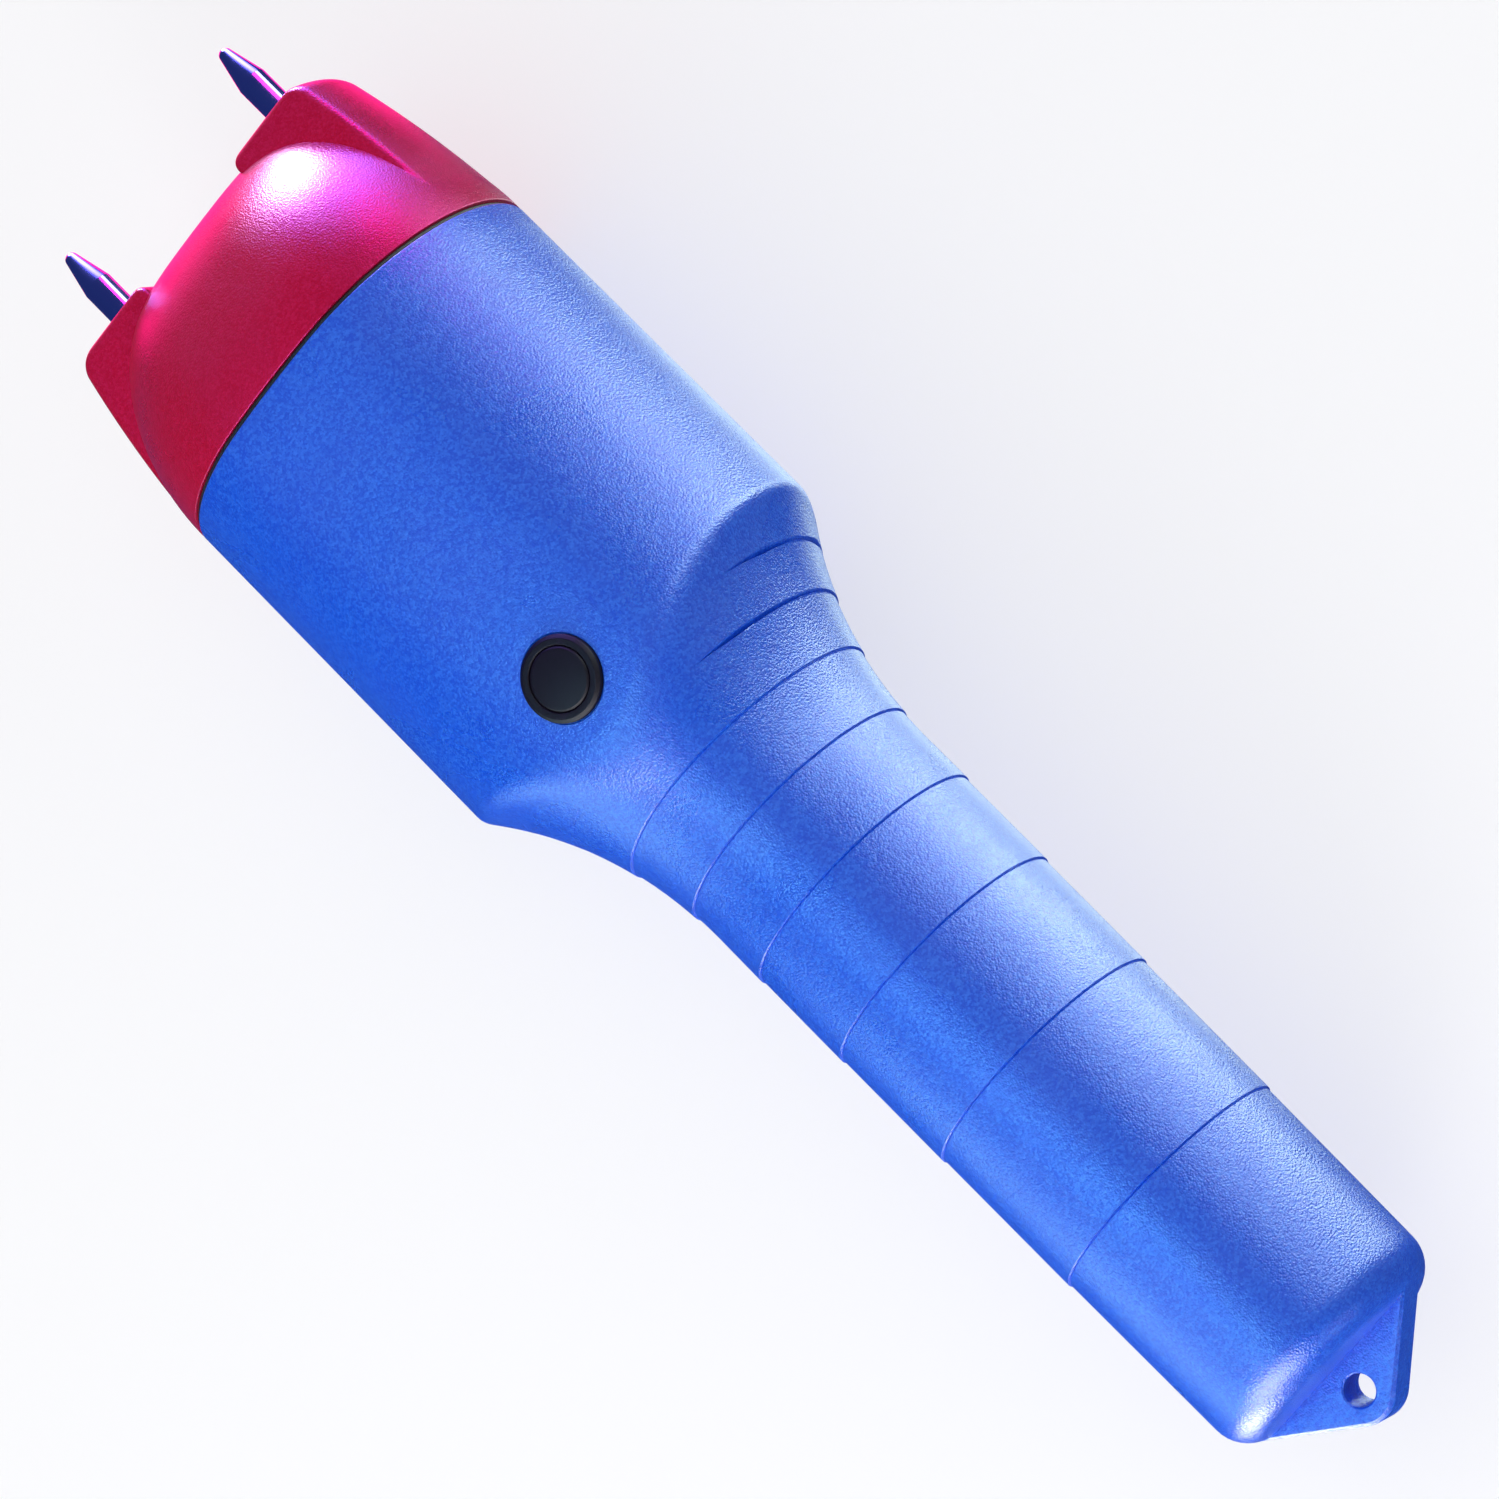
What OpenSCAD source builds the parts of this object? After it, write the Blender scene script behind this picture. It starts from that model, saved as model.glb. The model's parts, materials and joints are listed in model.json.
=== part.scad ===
// Handheld cattle prodder: oval barrel and round grip in one moulding, a horned head with two
// pointed electrodes, a push button, and a battery pulse generator inside.
// The part lies on its back: +X runs along the axis to the electrodes, +Z is the button side,
// Y runs from electrode to electrode. The origin is the middle of the box, on the floor.

/* [View] */
// Sub-part to draw, or all of them

/* [Barrel] */
// Width of the oval barrel, electrode to electrode
barrel_width = 70.4; // [69:0.2:74]
// Depth of the oval barrel, front to back
barrel_depth = 58; // [57:0.5:61]
// Distance from the head seam to the side of the shoulder
barrel_length = 62.6; // [61:0.2:70]
// Wall thickness of the barrel
wall = 2.8; // [2.6:0.1:3.2]
// Softness of the edge between barrel and flare
shoulder_blend = 1.4; // [0.6:0.1:2.4]
// How much further the front and back faces reach down the grip than the sides do
tongue_reach = 5; // [2:0.5:6]

/* [Grip] */
// Concave radius of the flare between grip and barrel
flare_radius = 68; // [60:1:80]
// Wall thickness of the grip at its tail
grip_wall = 2.5; // [2.3:0.1:3.2]
// How much the grip radius falls from the flare to the tail
grip_drop = 1.5; // [1:0.1:2]
// Distance from the shoulder to the first grip ring
ring_start = 7.2; // [6:0.2:8]
// Distance between the first two grip rings
ring_pitch = 7.4; // [7:0.1:7.8]
// Growth of each ring spacing over the one before
ring_growth = 1.235; // [1.2:0.005:1.25]
// Height of each ring step
ring_height = 0.4; // [0.2:0.05:0.6]
// Thickness of the closed tail
end_wall = 4; // [3.5:0.5:6]
// Radius of the rounded tail edge
tail_round = 4; // [3:0.5:5]

/* [Lanyard lug] */
// Diameter of the lanyard hole
hole_diameter = 5; // [4:0.2:6]
// Thickness of the lug
lug_thickness = 7; // [5:0.5:9]
// Reach of the lug past the tail
lug_reach = 10.2; // [9:0.2:12]
// Plastic left between the hole and the lug tip
lug_rim = 2.9; // [2.5:0.1:3.5]
// Bevel round the lug edge
lug_bevel = 1.3; // [0.8:0.1:1.8]

/* [Head] */
// Distance from the head seam to the horn ends
head_height = 34.8; // [33:0.2:38]
// How far the ridge of the dome stays below the horn ends
ridge_drop = 1.45; // [1:0.05:2.5]
// Half thickness of the dome at its ridge
ridge_half = 7.1; // [6.5:0.1:8]
// Height at which the dome would close sideways
dome_span = 41.5; // [40:0.5:46]
// Half thickness of a horn at its end
horn_half = 8.7; // [8.2:0.1:9.5]
// Draft of the horn faces, per mm of height
horn_draft = 0.069; // [0.04:0.005:0.09]
// Distance from an electrode axis to the inner side of its horn
horn_inset = 8.8; // [8.2:0.1:9.2]
// Wall thickness of the head
head_wall = 2.8; // [2.4:0.1:3]
// Depth of the head skirt inside the barrel
skirt_depth = 8; // [7:0.5:9]
// Thickness of the seal in the head seam
seal_thickness = 0.7; // [0.5:0.1:1]

/* [Electrodes] */
// Distance from the side of the barrel to an electrode axis
electrode_edge = 14.2; // [13.8:0.1:14.6]
// Electrode diameter
electrode_diameter = 5; // [4:0.2:5.4]
// Length of electrode in front of the horn end
electrode_reach = 15.65; // [12:0.05:20]
// Length of the tapered point
point_length = 7.15; // [5:0.05:9]
// Radius of the rounded tip
tip_radius = 1.15; // [0.8:0.05:1.5]

/* [Push button] */
// Diameter of the ring round the button
bezel_diameter = 13.2; // [12.8:0.1:14]
// Diameter of the bore that guides the button
button_bore = 10; // [9.4:0.1:10]
// Travel of the button
button_travel = 1.5; // [0.8:0.1:1.8]
// How far the button axis lies behind the shoulder
button_back = 1.55; // [1:0.05:3]
// Height of the ring over the barrel face
bezel_height = 1; // [0.6:0.1:1.4]

/* [Cells] */
// Diameter of one cell
cell_diameter = 34.2; // [33.2:0.1:34.6]
// Length of one cell with its stud
cell_length = 61.5; // [60:0.1:62]
// Room for the tail spring
spring_room = 6; // [5.4:0.1:7]

/* [Hidden] */
$fn = 96;
// Gap between pieces that are pushed together
slip = 0.3;
// Gap between a shaft and the bore it runs in
running_gap = 0.08;
// Gap left at a stop
stop_gap = 0.02;
// Gap between pieces that are screwed or bonded together
snug = 0.05;
// Gap round a shank in a plain hole
hole_gap = 0.1;
// Gap round a cell in its bore
cell_gap = 0.4;
// Extra length of a cutting shape past the face it cuts
over = 1;

// Barrel outline: two half rounds joined by a flat front and back
half_width = barrel_width / 2;
half_depth = barrel_depth / 2;
side_radius = half_depth;
side_centre = half_width - side_radius;
outline_points = 72;

// Stations along the axis, measured from the head seam
seam_gap = seal_thickness / 2;
shoulder_x = -barrel_length;
bore_radius = cell_diameter / 2 + cell_gap;
tail_radius = bore_radius + grip_wall;
grip_radius = tail_radius + grip_drop;
flare_rise = half_width - grip_radius;
flare_run = sqrt(pow(flare_radius, 2) - pow(flare_radius - flare_rise, 2));
flare_x = shoulder_x - flare_run;
contact_thickness = 0.6;
plate_thickness = 0.5;
ledge_back = 15.6;
ledge_x = shoulder_x - ledge_back;
cell_front_x = ledge_x - contact_thickness;
cell_middle_x = cell_front_x - cell_length;
cell_back_x = cell_middle_x - cell_length;
plate_x = cell_back_x - spring_room;
bore_end_x = plate_x - plate_thickness;
tail_x = bore_end_x - end_wall;
round_x = tail_x + tail_round;
lug_tip_x = tail_x - lug_reach;
lug_round = hole_diameter / 2 + lug_rim;
hole_x = lug_tip_x + lug_round;
tip_x = head_height + electrode_reach;

// Placing of the seam in the object frame: middle of the length, floor under the barrel
seam_x = -(tip_x + lug_tip_x) / 2;
axis_z = half_depth;

// Rings: spacing grows by a fixed ratio towards the tail
ring_count = 8;
loft_rings = 4;
ring_half = 0.12;
function ring_x(i) = shoulder_x - ring_start - ring_pitch * (pow(ring_growth, i) - 1) / (ring_growth - 1);
// Angle from the side at which the first two rings have faded out
fade_end_angles = [36, 60, 180, 180];
fade_span_angle = 10;

// Barrel cavity, the cone behind it and the contact carrier at the end of the cone
cavity_floor = 5.6;
cavity_back_x = shoulder_x + cavity_floor;
cone_back = 11;
cone_x = shoulder_x - cone_back;
cone_rim = 2;
cone_edge = 1;
cone_radius = half_depth - wall - cone_edge;
pocket_rim = 2.1;
pocket_radius = bore_radius + pocket_rim;
carrier_thickness = 3;
carrier_rim = 2.2;
carrier_hub = 5;
carrier_recess = 1.2;
carrier_front_x = ledge_x + carrier_thickness;
carrier_radius = pocket_radius - slip;
stud_reach = 1;
strip_width = 5;
strip_thickness = 0.5;
strip_drop = 0.7;
strip_z = -bore_radius - strip_drop;
strip_front = 2;
strip_front_x = carrier_front_x + strip_front;

// Push switch, heights from the axis
button_x = shoulder_x - button_back;
bezel_radius = bezel_diameter / 2;
bezel_sink = 0.4;
bezel_seat_z = half_depth - bezel_sink;
bezel_top_z = half_depth + bezel_height;
bezel_chamfer = [0.5, 0.4];
cap_radius = button_bore / 2 - running_gap;
cap_rise = 0.45;
cap_top_z = bezel_top_z + cap_rise;
cap_depth = 1.6;
cap_base_z = bezel_seat_z - cap_depth;
cap_edge = 0.3;
bush_wall = 0.75;
bush_radius = button_bore / 2 + bush_wall;
bush_length = 8.1;
bush_base_z = bezel_seat_z - bush_length;
panel_thickness = 4;
nut_seat_z = bezel_seat_z - panel_thickness;
washer_thickness = 0.4;
nut_thickness = 2.4;
nut_across = 15;
washer_edge = 0.9;
switch_pocket = 9.5;
switch_half = 6.2;
switch_height = 11.5;
switch_base_z = bush_base_z - switch_height;
switch_plate = 1.5;
chamber_half = 4.6;
stem_radius = 1.5;
bridge_radius = 3.8;
bridge_thickness = 0.8;
bridge_top_z = bush_base_z - switch_plate - stop_gap;
contact_z = bridge_top_z - bridge_thickness - button_travel - stop_gap;
terminal_offset = 2.9;
terminal_width = 3;
terminal_thickness = 0.8;
terminal_tail = 4.5;
terminal_base_z = switch_base_z - terminal_tail;
pad_half = 1.2;
spring_wire = 0.6;
spring_radius = 3.5;

// Circuit board and what stands on it
board_top_z = -12;
board_thickness = 1.6;
board_back = 4;
board_back_x = cavity_back_x + board_back;
board_front_x = -skirt_depth - slip;
board_edge = 1.54;
board_reach = sqrt(pow(side_radius - wall, 2) - pow(board_top_z - board_thickness, 2));
board_half = side_centre + board_reach - board_edge;
coil_back = 15;
coil_x = board_front_x - coil_back;
coil_edge = 10;
coil_half = board_half - coil_edge;
coil_flange = 9.5;
coil_z = board_top_z + coil_flange;
core_radius = 4;
lead_radius = 0.8;
hv_radius = 1.2;
hv_gap = 0.3;
hv_run = 6;

// Head
horn_base_x = 3;
ridge_x = head_height - ridge_drop;
dome_radius = (pow(ridge_x, 2) + pow(half_depth - ridge_half, 2)) / (2 * (half_depth - ridge_half));
skirt_gap = 0.15;
skirt_inset = wall + skirt_gap;
skirt_wall = 2;
skirt_top_x = 2;
cavity_front_x = 6;
seal_inset = 0.5;
electrode_radius = electrode_diameter / 2;
electrode_y = half_width - electrode_edge;
horn_inner = electrode_y - horn_inset;
horn_floor_x = head_height - head_wall;
flange_rim = 1.7;
flange_radius = electrode_radius + flange_rim;
flange_thickness = 1.6;
thread_rim = 0.5;
thread_radius = electrode_radius - thread_rim;
thread_end = 2;
tag_thickness = 0.6;
nut_height = 3.4;
tail_end_x = horn_floor_x - flange_thickness - tag_thickness - nut_height - thread_end;
catch_width = 6;
catch_length = 2;
catch_rise = 0.9;
catch_root = 1;
catch_tip = half_width - skirt_inset + catch_rise;
catch_back = 2;
catch_x = catch_back - skirt_depth;

// Colours
blue = [0.12, 0.25, 0.75];
red = [0.75, 0.05, 0.15];
black = [0.05, 0.05, 0.06];
steel = [0.75, 0.76, 0.78];
brass = [0.8, 0.62, 0.25];
green = [0.1, 0.35, 0.2];
copper = [0.7, 0.35, 0.18];
ferrite = [0.2, 0.2, 0.22];
cream = [0.85, 0.8, 0.65];

// Straight blend from a to b
function mix(a, b, t) = a + (b - a) * t;
// Value held between two limits
function hold(v, low, high) = min(max(v, low), high);
// Smaller of two values with a rounded change of width k
function soft_min(a, b, k) =
    let (h = max(k - abs(a - b), 0) / k)
    min(a, b) - h * h * k / 4;

// Barrel outline moved in by inset: a half round on each side, with flats between them
function outline(inset, count) = [for (s = [1, -1]) for (i = [0 : count / 2])
    let (r = side_radius - inset, a = 360 * i / count - 90)
    s * [side_centre + r * cos(a), r * sin(a)]];

// Radius of the flare and grip at station x; the flare arc is used up to a share of its radius
flare_share = 0.94;
function flare_height(x) =
    let (d = min(max(x - flare_x, 0), flare_share * flare_radius))
    flare_radius - sqrt(flare_radius * flare_radius - d * d);
function grip_base(x) = grip_radius + flare_height(x) - grip_drop * max(flare_x - x, 0) / (flare_x - round_x);

// Share of ring i that is left at angle a from the side
function ring_share(i, a) = hold((fade_end_angles[i] - a) / fade_span_angle, 0, 1);

// Radius at station x along the direction of outline point p, with ring offset lift
function shell_radius(x, p, lift) =
    let (r = norm(p), s = abs(p[1]) / r)
    let (k = shoulder_blend * (1 + s * s))
    soft_min(r, grip_base(x + tongue_reach * pow(s, 4)) + lift, k);

// Stations of the lofted shell: [x, ring below, ring above, share of the way up]
flare_steps = 4;
crease_steps = 12;
crease_length = 7;
crease_end_x = shoulder_x + crease_length;
shell_stations = concat(
    [for (i = [loft_rings - 1 : -1 : 1]) for (j = [0 : flare_steps])
        let (low = ring_x(i) + ring_half, high = ring_x(i - 1) - ring_half)
        [mix(low, high, j / flare_steps), i, i - 1, j / flare_steps]],
    [for (j = [0 : crease_steps])
        [mix(ring_x(0) + ring_half, crease_end_x, j / crease_steps), 0, -1, j / crease_steps]],
    [[-seam_gap, -1, -1, 1]]
);
// Ring offset of a station: proud at its tail end, sunk at its head end
function ring_lift(st, a) =
    let (low = st[1] < 0 ? 0 : ring_share(st[1], a))
    let (high = st[2] < 0 ? 0 : -ring_share(st[2], a))
    ring_height / 2 * mix(low, high, st[3]);
// Outline of the shell, with a point more in the middle of each flat, which the round grip needs
half_round = [for (p = outline(0, outline_points)) if (p[0] > 0) p];
shell_outline = [for (s = [1, -1]) for (p = concat(half_round, [[0, half_depth]])) s * p];
function shell_section(st) = [for (p = shell_outline)
    let (r = norm(p), a = atan2(abs(p[1]), abs(p[0])))
    let (q = shell_radius(st[0], p, ring_lift(st, a)))
    [st[0], p[0] * q / r, p[1] * q / r]];

// Solid through a list of closed sections with the same number of points
module loft(sections) {
    n = len(sections[0]);
    m = len(sections);
    sides = [for (i = [0 : m - 2]) for (j = [0 : n - 1]) for (t = [0, 1])
        let (k = (j + 1) % n)
        t == 0 ? [i * n + j, (i + 1) * n + j, i * n + k] : [i * n + k, (i + 1) * n + j, (i + 1) * n + k]];
    first = [[for (j = [0 : n - 1]) j]];
    last = [[for (j = [n - 1 : -1 : 0]) (m - 1) * n + j]];
    points = [for (s = sections) for (p = s) p];
    polyhedron(points, concat(sides, first, last));
}

// Wire wound from the bottom to the top of a spring: one tube, closed at both ends
wire_sides = 6;
rings_per_turn = 8;
near_rings = 6;
function wire_path(low, high, turns) =
    let (count = ceil(turns * rings_per_turn))
    [for (i = [0 : count]) let (t = i / count, a = 360 * turns * t)
        [mix(low[0], high[0], t) * cos(a), mix(low[0], high[0], t) * sin(a), mix(low[1], high[1], t)]];
function wire_section(path, i, r) =
    let (n = len(path) - 1, before = path[max(i - 1, 0)], after = path[min(i + 1, n)])
    let (along = (after - before) / norm(after - before))
    let (out = [path[i][0], path[i][1], 0] / norm([path[i][0], path[i][1], 0]))
    let (up = cross(out, along) / norm(cross(out, along)))
    let (side = cross(along, up))
    [for (j = [0 : wire_sides - 1]) let (a = 360 * j / wire_sides)
        path[i] + r * (cos(a) * up + sin(a) * side)];
// Least clear distance between neighbouring turns of a wire
function wire_gap(path, wire) =
    let (last = len(path) - 1)
    min([for (i = [0 : last]) for (j = [i + near_rings : 1 : last]) norm(path[i] - path[j])]) - wire;
module wire(path, diameter) {
    loft([for (i = [0 : len(path) - 1]) wire_section(path, i, diameter / 2)]);
}

// Point at share t of the soft curve that control points c pull along
function curve_point(c, t) =
    len(c) == 1 ? c[0] : curve_point([for (i = [0 : len(c) - 2]) mix(c[i], c[i + 1], t)], t);
lead_sides = 8;
lead_rings = 12;
function lead_section(path, i, r, across) =
    let (n = len(path) - 1, along = path[min(i + 1, n)] - path[max(i - 1, 0)])
    let (side = cross(along, across) / norm(cross(along, across)))
    let (up = cross(side, along) / norm(along))
    [for (j = [0 : lead_sides - 1]) let (a = 360 * j / lead_sides)
        path[i] + r * (cos(a) * up + sin(a) * side)];
// Lead along a soft curve; across is any direction that the lead never runs in
module lead(points, r, across) {
    path = [for (i = [0 : lead_rings]) curve_point(points, i / lead_rings)];
    loft([for (i = [0 : lead_rings]) lead_section(path, i, r, across)]);
}

// Moves a piece from axis coordinates into the object frame
module placed() {
    translate([seam_x, 0, axis_z])
        children();
}
// Turns a shape built along Z so that it runs along X
module along_x() {
    rotate([90, 0, 90])
        children();
}
// Turns a profile given as [x, radius] into a solid round the X axis
module turned(profile) {
    rotate([0, 90, 0])
        rotate_extrude()
            polygon([for (p = profile) [p[1], p[0]]]);
}
// Straight prism on the barrel outline
module oval_prism(x0, x1, inset) {
    translate([x0, 0, 0])
        along_x()
            linear_extrude(x1 - x0)
                polygon(outline(inset, outline_points));
}
// Block from corner a to corner b
module block(a, b) {
    translate(a)
        cube(b - a);
}

// Grip behind the lofted shell, with its ring steps and rounded tail
round_steps = 8;
grip_overlap = 3;
module grip_solid() {
    top_x = ring_x(loft_rings - 1);
    top_radius = grip_base(top_x) - ring_height / 2;
    ring_points = [for (i = [loft_rings : ring_count - 1]) for (s = [1, -1])
        [ring_x(i) + s * ring_half, grip_base(ring_x(i)) + s * ring_height / 2]];
    end_points = [for (i = [0 : round_steps]) let (a = 90 * i / round_steps)
        [round_x - tail_round * sin(a), tail_radius - tail_round * (1 - cos(a))]];
    turned(concat(
        [[top_x + grip_overlap, 0], [top_x + grip_overlap, top_radius], [top_x, top_radius]],
        ring_points, end_points, [[tail_x, 0]]));
}

// Lug outline: two straight flanks that run out of the tail and a round tip about the hole
lug_steps = 10;
lug_start = 0.7;
lug_drop = 1;
lug_corner = [round_x - tail_round * lug_start, tail_radius - lug_drop];
module lug_outline(inset) {
    reach = lug_round - inset;
    corner = lug_corner - [0, inset];
    d = corner - [hole_x, 0];
    flank = atan2(d[1], d[0]) + acos(reach / norm(d));
    arc = [for (i = [0 : lug_steps]) let (a = mix(flank, 360 - flank, i / lug_steps))
        [hole_x + reach * cos(a), reach * sin(a)]];
    polygon(concat([corner], arc, [[corner[0], -corner[1]], [round_x, -corner[1]], [round_x, corner[1]]]));
}
module lug_solid() {
    hull() {
        translate([0, 0, -lug_thickness / 2])
            linear_extrude(lug_thickness)
                lug_outline(lug_bevel);
        translate([0, 0, lug_bevel - lug_thickness / 2])
            linear_extrude(lug_thickness - 2 * lug_bevel)
                lug_outline(0);
    }
}

// Room inside the housing: battery bore, carrier seat, cone and barrel cavity
module housing_room() {
    turned([
        [bore_end_x, 0], [bore_end_x, bore_radius], [ledge_x, bore_radius], [ledge_x, pocket_radius],
        [cone_x, pocket_radius], [cavity_back_x - cone_rim, cone_radius],
        [cavity_back_x + over, cone_radius], [cavity_back_x + over, 0]]);
    oval_prism(cavity_back_x, over, wall);
    block([bore_end_x, -strip_width / 2 - slip, strip_z - slip],
        [ledge_x + over, strip_width / 2 + slip, 0]);
    // Switch hole, its outer seat and the flat for its nut
    translate([button_x, 0, 0]) {
        cylinder(h = half_depth + over, r = bush_radius + hole_gap);
        translate([0, 0, bezel_seat_z])
            cylinder(h = over, r = bezel_radius + hole_gap);
        cylinder(h = nut_seat_z, r = switch_pocket);
    }
    // Pockets that take the catches of the head skirt
    for (s = [0, 1])
        mirror([0, s, 0])
            block([catch_x - slip, side_radius - wall, -catch_width / 2 - slip],
                [catch_x + catch_length + slip, catch_tip + slip, catch_width / 2 + slip]);
}
// Rails that carry the circuit board, with a stop at the back
rail_grip = 2;
rail_height = 1.8;
rail_gap = 0.2;
rail_stop = 1.5;
module board_rails() {
    inner = board_half - rail_grip;
    back_x = board_back_x - rail_stop;
    low_z = board_top_z - board_thickness;
    top_z = board_top_z + rail_gap;
    low_reach = side_centre + sqrt(pow(side_radius - wall / 2, 2) - pow(low_z - rail_height, 2));
    top_reach = side_centre + sqrt(pow(side_radius - wall / 2, 2) - pow(top_z, 2));
    for (s = [0, 1])
        mirror([0, s, 0]) {
            block([back_x, inner, low_z - rail_height], [board_front_x, low_reach, low_z]);
            block([back_x, inner, top_z], [board_front_x, top_reach, top_z + rail_height]);
            block([back_x, inner, low_z - over], [board_back_x, low_reach, top_z + over]);
        }
}
module housing() {
    color(blue) placed()
        union() {
            difference() {
                union() {
                    loft([for (st = shell_stations) shell_section(st)]);
                    grip_solid();
                    lug_solid();
                }
                housing_room();
                translate([hole_x, 0, -lug_thickness])
                    cylinder(h = 2 * lug_thickness, r = hole_diameter / 2);
            }
            board_rails();
        }
}

// Dome of the head: the barrel outline shrinks sideways to an ellipse and front to back to an arc
function dome_half_depth(x, e) = half_depth - dome_radius + sqrt(pow(dome_radius - e, 2) - x * x);
function dome_half_width(x, e) = (half_width - e) * sqrt(1 - pow(x / (dome_span - e), 2));
function dome_section(x, e, count) = [for (p = outline(0, count))
    [x, p[0] * dome_half_width(x, e) / half_width, p[1] * dome_half_depth(x, e) / half_depth]];
module dome(x0, e, count, steps) {
    first = asin(x0 / (dome_radius - e));
    last = asin((ridge_x - e) / (dome_radius - e));
    loft([for (i = [0 : steps])
        dome_section((dome_radius - e) * sin(mix(first, last, i / steps)), e, count)]);
}

// Horn: turned outer side, drafted front and back, rounded inner corner
horn_steps = 7;
corner_steps = 5;
horn_corner = 3;
inner_corner = 2;
face_bevel = 0.9;
horn_lean = 0.05;
horn_curve = 0.0026;
function horn_radius(x) = side_radius - horn_lean * x - horn_curve * x * x;
function horn_depth(x) = horn_half + horn_draft * (head_height - x);
module horn() {
    top = head_height;
    bend_x = top - horn_corner;
    side = [for (i = [0 : horn_steps]) let (x = mix(horn_base_x, bend_x, i / horn_steps))
        [x, horn_radius(x)]];
    corner = [for (i = [1 : corner_steps]) let (a = 90 * i / corner_steps)
        [bend_x + horn_corner * sin(a), horn_radius(bend_x) - horn_corner * (1 - cos(a))]];
    inner = [for (i = [0 : corner_steps]) let (a = 90 * i / corner_steps)
        [top - inner_corner * (1 - cos(a)), horn_inner + inner_corner * (1 - sin(a))]];
    low = horn_depth(horn_base_x);
    high = horn_depth(top);
    intersection() {
        translate([0, side_centre, 0])
            turned(concat([[horn_base_x, 0]], side, corner, [[top, 0]]));
        rotate([90, 0, 0])
            translate([0, 0, -half_width - over])
                linear_extrude(half_width + over)
                    polygon([[horn_base_x, -low], [top - face_bevel, -high], [top, face_bevel - high],
                        [top, high - face_bevel], [top - face_bevel, high], [horn_base_x, low]]);
        translate([0, 0, -half_depth])
            linear_extrude(barrel_depth)
                polygon(concat([[horn_base_x, half_width + over], [top, half_width + over]], inner,
                    [[horn_base_x, horn_inner]]));
    }
}
// Hollow of a horn behind its end wall
room_start = 0.55;
room_corner = 1.5;
module horn_room() {
    reach = side_centre + horn_radius(horn_floor_x) - head_wall - room_corner;
    inner = horn_inner + head_wall;
    deep = horn_half - head_wall;
    block([head_height * room_start, inner, -deep], [horn_floor_x, reach, deep]);
}
dome_steps = 16;
inner_dome_steps = 10;
module head_cap() {
    color(red) placed()
        difference() {
            union() {
                dome(seam_gap, 0, outline_points, dome_steps);
                for (s = [0, 1])
                    mirror([0, s, 0])
                        horn();
                oval_prism(-skirt_depth, skirt_top_x, skirt_inset);
                for (s = [0, 1])
                    mirror([0, s, 0])
                        block([catch_x, half_width - skirt_inset - catch_root, -catch_width / 2],
                            [catch_x + catch_length, catch_tip, catch_width / 2]);
            }
            dome(cavity_front_x - over, head_wall, outline_points / 2, inner_dome_steps);
            oval_prism(-skirt_depth - over, cavity_front_x, skirt_inset + skirt_wall);
            for (s = [0, 1])
                mirror([0, s, 0]) {
                    horn_room();
                    translate([horn_floor_x - over, electrode_y, 0])
                        along_x()
                            cylinder(h = head_wall + 2 * over, r = electrode_radius);
                }
        }
}
// Seal squeezed in the head seam
module head_seal() {
    color(black) placed()
        difference() {
            oval_prism(-seam_gap, seam_gap, seal_inset);
            oval_prism(-seam_gap - over, seam_gap + over, wall - snug);
        }
}

// Electrode: rounded point, plain shank, flange behind the horn end and a tail for the nut
tip_steps = 6;
tip_start_angle = 15;
module electrode() {
    tip = [for (i = [0 : tip_steps]) let (a = mix(tip_start_angle, 90, i / tip_steps))
        [tip_x - tip_radius + tip_radius * sin(a), tip_radius * cos(a)]];
    turned(concat(
        [[tail_end_x, 0], [tail_end_x, thread_radius],
            [horn_floor_x - flange_thickness, thread_radius],
            [horn_floor_x - flange_thickness, flange_radius], [horn_floor_x, flange_radius],
            [horn_floor_x, electrode_radius], [tip_x - point_length, electrode_radius]],
        tip));
}
module electrode_left() {
    color(steel) placed() translate([0, electrode_y, 0]) electrode();
}
module electrode_right() {
    color(steel) placed() translate([0, -electrode_y, 0]) electrode();
}
// Eyelet of a lead under the electrode nut
tag_x = horn_floor_x - flange_thickness - tag_thickness;
module lead_tag() {
    translate([tag_x, 0, 0])
        along_x()
            difference() {
                cylinder(h = tag_thickness, r = flange_radius);
                translate([0, 0, -over])
                    cylinder(h = tag_thickness + 2 * over, r = thread_radius + snug);
            }
}
module lead_tag_left() {
    color(brass) placed() translate([0, electrode_y, 0]) lead_tag();
}
module lead_tag_right() {
    color(brass) placed() translate([0, -electrode_y, 0]) lead_tag();
}
nut_edge = 0.3;
module electrode_nut() {
    translate([tag_x - nut_height, 0, 0])
        along_x()
            difference() {
                cylinder(h = nut_height, r = flange_radius + nut_edge, $fn = 6);
                translate([0, 0, -over])
                    cylinder(h = nut_height + 2 * over, r = thread_radius + snug);
            }
}
module electrode_nut_left() {
    color(steel) placed() translate([0, electrode_y, 0]) electrode_nut();
}
module electrode_nut_right() {
    color(steel) placed() translate([0, -electrode_y, 0]) electrode_nut();
}
// High voltage lead from the end of the coil to an electrode tail
module hv_lead(s) {
    start = [coil_x + core_radius + hv_radius + hv_gap, s * (coil_half + hv_gap), coil_z];
    end = [tail_end_x - hv_gap, s * electrode_y, 0];
    half_way = [end[0] - start[0], 0, 0] / 2;
    lead([start, start + [0, s * hv_run, 0], end - half_way, end], hv_radius, [0, 0, 1]);
}
module hv_lead_left() {
    color(red) placed() hv_lead(1);
}
module hv_lead_right() {
    color(black) placed() hv_lead(-1);
}

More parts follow.
